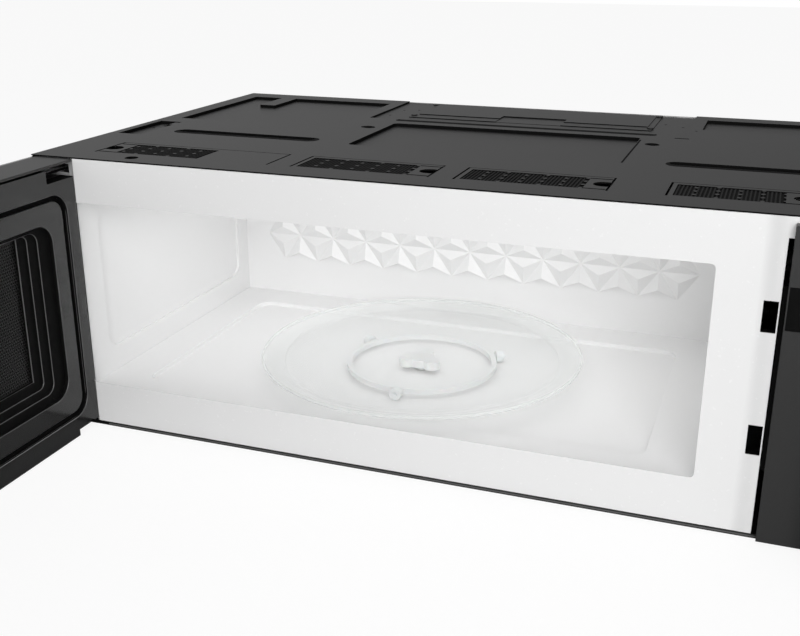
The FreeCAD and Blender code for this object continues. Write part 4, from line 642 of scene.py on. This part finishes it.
# Paler gloss on the rounded step edges is a painted highlight.
step_edge_painted_highlight = Paint("step_edge_painted_highlight", coat_weight=0.2, coat_roughness=0.1)
step_edge_painted_highlight.feed("Base Color", step_edge_painted_highlight.blend(step_edge_painted_highlight.noise(90.0), grey(0.07), grey(0.10)))
step_edge_painted_highlight.feed("Roughness", step_edge_painted_highlight.noise(300.0) * 0.1 + 0.3)
repaint(inner_cover, step_edge_painted_highlight, lambda middle, normal: 0.3 < normal.x < 0.9)
softened("door_frame", satin_black, 0.4 * MM, segments=2)
softened("door_hinge_bushes", milky, 0.3 * MM)

# ---- Door handle
# One moulded bar on two posts, gloss black, rounded for the hand.
softened("door_handle", gloss, 1.4 * MM, segments=4, angle=60)

# ---- Door glass and control glass
# Tempered glass with a black back, ground smooth at the edges.
dark_glass = Paint("dark_glass", coat_weight=0.5, coat_roughness=0.02)
dark_glass.feed("Base Color", dark_glass.blend(dark_glass.noise(3.0), grey(0.006), grey(0.009)))
dark_glass.feed("Roughness", dark_glass.noise(50.0) * 0.02 + 0.04)
for part in ("door_glass", "control_glass"):
    softened(part, dark_glass, 0.5 * MM, segments=3)

# ---- Door window
# A punched black screen stops the microwaves; a thin clear sheet keeps it clean.
screen = Paint("perforated_screen", specular_ior_level=0.15)
hole_pitch, hole_share = 0.0028, 0.11
row = screen.axis("Z") / hole_pitch
odd_row = ((row / 2.0) % 1.0) > 0.5
across = (screen.axis("Y") / hole_pitch + odd_row * 0.5) % 1.0 - 0.5
upward = row % 1.0 - 0.5
hole = (across * across + upward * upward) < hole_share
screen.feed("Base Color", screen.blend(hole, grey(0.02), grey(0.001)))
screen.feed("Roughness", hole * 0.4 + 0.35)
paint_node(screen, "door_screen")
film = Paint("inner_window", base_color=grey(0.01), specular_ior_level=0.3)
film.feed("Roughness", film.noise(40.0) * 0.03 + 0.08)
film.feed("Alpha", film.noise(4.0) * 0.02 + 0.06)
paint_node(film, "door_inner_window")

# ---- Control housing
# One satin black moulding: the ledge behind the door's free edge and the column
# that the touch glass closes.
housing = merged_copy("control_housing", "control_housing_formed")
housing_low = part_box("control_housing")[0]
ledge_face, ledge_end, sunk_band = -0.4371, 0.3135, (0.047, 0.080)
cut_away(block("band", Vector((housing_low[0] + 1 * MM, ledge_face - 1 * MM, sunk_band[0])),
               Vector((ledge_end, ledge_face + 1 * MM, sunk_band[1]))), housing)
round_edges(housing, 0.5 * MM, segments=3)
hand_over(housing, satin_black, "cabinet", SLOT_OF["control_housing"], "control_housing")
# The strip beside the frame is painted near black as shade; the face of the sunk band is painted near
# black too.
repaint(housing, painted_shade_black, lambda middle, normal: middle.x < housing_low[0] + 2 * MM
        or normal.y < -0.9 and ledge_face + 0.5 * MM < middle.y < ledge_face + 1.5 * MM)

# ---- Keypad and display marks
# Pale marks printed behind the touch glass: a clock display over a keypad of
# ten numbers, two bars for stop and start, and a lamp key.
glass_low, glass_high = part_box("control_glass")
glass_width, glass_face = (glass_high[0] - glass_low[0]) / MM, glass_low[1]
print_gap, print_depth = 0.03, 0.04
mark_ink = Paint("printed_mark")
mark_ink.feed("Base Color", mark_ink.blend(mark_ink.noise(200.0), grey(0.50), grey(0.56)))
mark_ink.feed("Roughness", mark_ink.noise(500.0) * 0.1 + 0.4)
lit_segment = Paint("lit_segment", emission_strength=0.7)
lit_segment.feed("Emission Color", lit_segment.blend(lit_segment.noise(300.0), (0.62, 0.80, 0.92, 1),
                                                     (0.70, 0.86, 0.96, 1)))
lit_segment.feed("Base Color", lit_segment.blend(lit_segment.noise(300.0), grey(0.3), grey(0.4)))


def on_glass(x, z, raised=0.0):
    """A point in mm from the touch glass's left edge and bottom, in front of its face."""
    return Vector((glass_low[0] + x * MM, glass_face - raised * MM, glass_low[2] + z * MM))


def printed(words, x, z, height):
    """A word of numerals laid flat in front of the glass, its middle at a point."""
    bpy.ops.object.select_all(action="DESELECT")
    bpy.ops.object.text_add()
    words_piece = bpy.context.object
    words_piece.data.body = words
    words_piece.data.size = height * MM
    words_piece.data.align_x, words_piece.data.align_y = "CENTER", "CENTER"
    words_piece.data.extrude = print_depth / 2 * MM
    words_piece.data.resolution_u = 3
    bpy.ops.object.convert(target="MESH")
    words_piece.rotation_euler = (math.radians(90), 0, 0)
    words_piece.location = on_glass(x, z, print_gap + print_depth / 2)
    bpy.ops.object.transform_apply(location=True, rotation=True, scale=True)
    return words_piece


def printed_bar(x, z, length, height):
    return block("bar", on_glass(x - length / 2, z - height / 2, print_gap),
                 on_glass(x + length / 2, z + height / 2, print_gap + print_depth))


key_pitch_x, key_pitch_z, first_key_z, numeral_height, bar_sheet = 16.0, 19.0, 128.0, 9.0, 0.6
centre_x = glass_width / 2
numerals = [printed(str(3 * row + column + 1), centre_x + (column - 1) * key_pitch_x,
                    first_key_z - row * key_pitch_z, numeral_height)
            for row in range(3) for column in range(3)]
numerals.append(printed("0", centre_x, first_key_z - 3 * key_pitch_z, numeral_height))
key_lines = [printed_bar(centre_x, first_key_z + key_pitch_z / 2 - row * key_pitch_z,
                         glass_width - 16.0, bar_sheet) for row in range(5)]
start_z, lamp_z = first_key_z - 4.4 * key_pitch_z, first_key_z + 1.4 * key_pitch_z
stop_mark = printed_bar(centre_x - key_pitch_x, start_z, 6.0, 6.0)
bpy.ops.object.select_all(action="DESELECT")
bpy.ops.mesh.primitive_cylinder_add(vertices=3, radius=4.2 * MM, depth=print_depth * MM,
                                    rotation=(math.radians(90), math.radians(-90), 0),
                                    location=on_glass(centre_x + key_pitch_x, start_z,
                                                      print_gap + print_depth / 2))
start_mark = bpy.context.object
bpy.ops.object.transform_apply(location=True, rotation=True)
bpy.ops.object.select_all(action="DESELECT")
bpy.ops.mesh.primitive_torus_add(major_segments=32, minor_segments=6, major_radius=4.0 * MM,
                                 minor_radius=0.3 * MM, rotation=(math.radians(90), 0, 0),
                                 location=on_glass(centre_x, lamp_z, 0.0))
lamp_mark = bpy.context.object
bpy.ops.object.transform_apply(location=True, rotation=True)
keypad = numerals[0]
merge_into(keypad, *numerals[1:], *key_lines, stop_mark, start_mark, lamp_mark)
keypad.name = "keypad_marks"
hand_over(keypad, mark_ink, "cabinet", SLOT_OF["control_glass"])
clock = printed("12:00", centre_x, 212.0, 15.0)
clock.name = "clock_display"
hand_over(clock, lit_segment, "cabinet", SLOT_OF["control_glass"])

# ---- Grease filters
# Each is an aluminium border folded round layers of expanded mesh, with a
# small ring to pull it down.
mesh_metal = Paint("filter_mesh", metallic=1.0)
mesh_metal.feed("Base Color", mesh_metal.blend(mesh_metal.noise(200.0), grey(0.55), grey(0.68)))
mesh_metal.feed("Roughness", mesh_metal.noise(400.0) * 0.1 + 0.32)
border_width, border_depth, strand, mesh_pitch = 9.0, 2.0, 0.7, 5.0
filters = merged_copy("grease_filters", "filter_borders")
filters_low, filters_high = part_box("grease_filters")
bpy.ops.object.mode_set(mode="EDIT")
pick(filters, lambda middle, normal: normal.z < -0.9)
bpy.ops.mesh.inset(thickness=border_width * MM, use_individual=True)
bpy.ops.mesh.extrude_region_move(TRANSFORM_OT_translate={"value": (0, 0, border_depth * MM)})
bpy.ops.object.mode_set(mode="OBJECT")
round_edges(filters, 0.5 * MM)
lattice = []
filter_gap = 56.0 * MM
filter_width = (filters_high[0] - filters_low[0] - filter_gap) / 2
inner = (filter_width - 2 * border_width * MM,
         filters_high[1] - filters_low[1] - 2 * border_width * MM)
for filter_left in (filters_low[0], filters_high[0] - filter_width):
    bpy.ops.object.select_all(action="DESELECT")
    bpy.ops.mesh.primitive_grid_add(
        x_subdivisions=int(inner[0] / mesh_pitch / MM), y_subdivisions=int(inner[1] / mesh_pitch / MM),
        size=1.0, location=(filter_left + filter_width / 2, (filters_low[1] + filters_high[1]) / 2,
                            filters_low[2] + 0.5 * border_depth * MM))
    net = bpy.context.object
    net.scale = (*inner, 1)
    bpy.ops.object.transform_apply(location=True, rotation=True, scale=True)
    bpy.ops.object.mode_set(mode="EDIT")
    bpy.ops.mesh.select_all(action="SELECT")
    bpy.ops.mesh.poke()
    bpy.ops.mesh.tris_convert_to_quads()
    bpy.ops.object.mode_set(mode="OBJECT")
    modify(net, "WIREFRAME", thickness=strand * MM)
    lattice.append(net)
merge_into(filters, *lattice)
hand_over(filters, mesh_metal, "cabinet", SLOT_OF["grease_filters"], "grease_filters")

# ---- Cooktop lamp lenses
# Clear ribbed lenses that snap into the underside.
clear_glass = Paint("clear_lens", coat_weight=0.4, coat_roughness=0.03)
lens_rib = (clear_glass.axis("X") % 0.003) / 0.003
clear_glass.feed("Base Color", clear_glass.blend(lens_rib > 0.5, grey(0.75), grey(0.85)))
clear_glass.feed("Alpha", (lens_rib > 0.5) * 0.15 + 0.45)
clear_glass.feed("Roughness", clear_glass.noise(90.0) * 0.05 + 0.08)
softened("cooktop_lamp_lenses", clear_glass, 0.3 * MM)

# ---- Black plastic and inner parts
# Moulded fittings, filters, coils, boards and lamps behind the sheets.
black_plastic = Paint("black_plastic")
plastic_grain = black_plastic.noise(900.0)
black_plastic.feed("Base Color", black_plastic.blend(plastic_grain, grey(0.012), grey(0.02)))
black_plastic.feed("Roughness", plastic_grain * 0.1 + 0.45)
for part in ("cord_bushing", "door_latch"):
    softened(part, black_plastic, 0.4 * MM)
paint_node(black_plastic, "blower_wheels", "display_module",
           "magnetron_fan_blade", "charcoal_filters")
# The latch board, plungers and switches behind the latch slots are painted near black as shade.
paint_node(painted_shade_black, "latch_board", "upper_switch_plunger", "lower_switch_plunger",
           "interlock_switches")
fins = Paint("bare_aluminium", metallic=1.0)
# The magnetron's front end, behind the latch slots, is painted near black as shade.
front_end_painted_shade = fins.axis("Y") < -0.27
fin_tone = fins.blend(fins.noise(80.0), grey(0.62), grey(0.72))
fins.feed("Base Color", fins.blend(front_end_painted_shade, fin_tone, grey(0.004)))
fins.feed("Roughness", fins.noise(300.0) * 0.1 + 0.28)
paint_node(fins, "magnetron", "hv_capacitor")
laminations = Paint("varnished_core")
layers = laminations.axis("Y") * 2400.0
laminations.feed("Base Color", laminations.blend(layers % 1.0, (0.10, 0.075, 0.05, 1),
                                                 (0.16, 0.12, 0.08, 1)))
laminations.feed("Roughness", laminations.noise(200.0) * 0.1 + 0.4)
paint_node(laminations, "hv_transformer", "blower_motor")
board = Paint("circuit_card")
board.feed("Base Color", board.blend(board.noise(160.0), (0.02, 0.10, 0.04, 1), (0.03, 0.16, 0.07, 1)))
board.feed("Roughness", board.noise(300.0) * 0.1 + 0.4)
paint_node(board, "control_board")
lamp_glass = Paint("frosted_lamp")
lamp_glass.feed("Base Color", lamp_glass.blend(lamp_glass.noise(50.0), (0.80, 0.78, 0.70, 1),
                                               (0.86, 0.84, 0.77, 1)))
lamp_glass.feed("Roughness", lamp_glass.noise(200.0) * 0.1 + 0.45)
paint_node(lamp_glass, "cooktop_lamps", "cavity_lamp")
mica = Paint("mica_card")
mica.feed("Base Color", mica.blend(mica.noise(40.0, 6.0), (0.62, 0.60, 0.55, 1),
                                   (0.74, 0.72, 0.66, 1)))
mica.feed("Roughness", mica.noise(90.0) * 0.1 + 0.45)
paint_node(mica, "waveguide_cover")

# ---- Studio
# A plain pale floor under the part, which glossy parts see mostly as near black, a painted dark
# reflection; soft lamps and a white surround.
bottom = box_of_frame[0][2]
bpy.ops.object.select_all(action="DESELECT")
bpy.ops.mesh.primitive_plane_add(size=14.0, location=(0, 0, bottom - 0.0005))
floor = bpy.context.object
floor.name = "floor"
floor_paint = Paint("studio_floor", base_color=grey(0.85), roughness=0.9)
glow = floor_paint.node("ShaderNodeEmission", {}, {"Color": grey(1.0), "Strength": 1.05})
to_lens = floor_paint.node("ShaderNodeLightPath", {}, {}, "Is Camera Ray") * 0.85
matt = Value(floor_paint, floor_paint.shader.outputs[0])
shown = floor_paint.node("ShaderNodeMixShader", {}, {0: to_lens, 1: matt, 2: glow})
# Glossy rays see the floor mostly as near-black diffuse, a painted dark reflection.
painted_dark_reflection = floor_paint.node("ShaderNodeBsdfDiffuse", {}, {"Color": grey(0.02)})
to_gloss = floor_paint.node("ShaderNodeLightPath", {}, {}, "Is Glossy Ray") * 0.55
seen_floor = floor_paint.node("ShaderNodeMixShader", {}, {0: to_gloss, 1: shown, 2: painted_dark_reflection})
floor_paint.links.new(seen_floor.socket, floor_paint.nodes["Material Output"].inputs["Surface"])
floor.data.materials.append(floor_paint.material)

world = bpy.data.worlds.new("studio")
bpy.context.scene.world = world
world.use_nodes = True
tree = world.node_tree
tree.nodes.clear()
seen = tree.nodes.new("ShaderNodeLightPath")
soft = tree.nodes.new("ShaderNodeBackground")
sky_place = tree.nodes.new("ShaderNodeTexCoord")
sky_side = tree.nodes.new("ShaderNodeSeparateXYZ")
tree.links.new(sky_place.outputs["Generated"], sky_side.inputs[0])
sky_ramp = tree.nodes.new("ShaderNodeMapRange")
for word, value in (("From Min", -0.6), ("From Max", 0.6), ("To Min", 0.72), ("To Max", 0.20)):
    sky_ramp.inputs[word].default_value = value
tree.links.new(sky_side.outputs["X"], sky_ramp.inputs["Value"])
tree.links.new(sky_ramp.outputs["Result"], soft.inputs["Strength"])
white = tree.nodes.new("ShaderNodeBackground")
white.inputs["Color"].default_value = grey(1.0)
white.inputs["Strength"].default_value = 1.0
either = tree.nodes.new("ShaderNodeMath")
either.operation = "MAXIMUM"
tree.links.new(seen.outputs["Is Camera Ray"], either.inputs[0])
tree.links.new(seen.outputs["Is Transmission Ray"], either.inputs[1])
chosen = tree.nodes.new("ShaderNodeMixShader")
tree.links.new(either.outputs[0], chosen.inputs[0])
tree.links.new(soft.outputs[0], chosen.inputs[1])
tree.links.new(white.outputs[0], chosen.inputs[2])
final = tree.nodes.new("ShaderNodeOutputWorld")
tree.links.new(chosen.outputs[0], final.inputs["Surface"])


def soft_lamp(name, place, aim, size, power, depth=None):
    light = bpy.data.lights.new(name, "AREA")
    light.shape = "RECTANGLE"
    light.size, light.size_y, light.energy = size, depth or size, power
    lamp = bpy.data.objects.new(name, light)
    bpy.context.collection.objects.link(lamp)
    lamp.location = place
    lamp.rotation_euler = (Vector(aim) - Vector(place)).to_track_quat("-Z", "Y").to_euler()


middle = Vector((0, -0.35, 0))
soft_lamp("front_lamp", (0.9, -2.8, 1.0), middle, 1.6, 49.0)
cavity_low, cavity_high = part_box("cavity_ceiling")
lamp_level = cavity_low[2] - 0.004
cavity_middle = ((cavity_low[0] + cavity_high[0]) / 2, (cavity_low[1] + cavity_high[1]) / 2)
soft_lamp("cavity_light", (*cavity_middle, lamp_level), (*cavity_middle, bottom), 0.48, 0.30, 0.26)

camera_data = bpy.data.cameras.new("photo_view")
camera_data.sensor_width = 36.0
camera_data.lens = 47.07
camera = bpy.data.objects.new("photo_view", camera_data)
bpy.context.collection.objects.link(camera)
camera.location = (0.2567, -1.1919, 0.3101)
camera.rotation_euler = (math.radians(70.19), 0, math.radians(20.08))
bpy.context.scene.camera = camera
bpy.context.scene.view_settings.view_transform = "Standard"
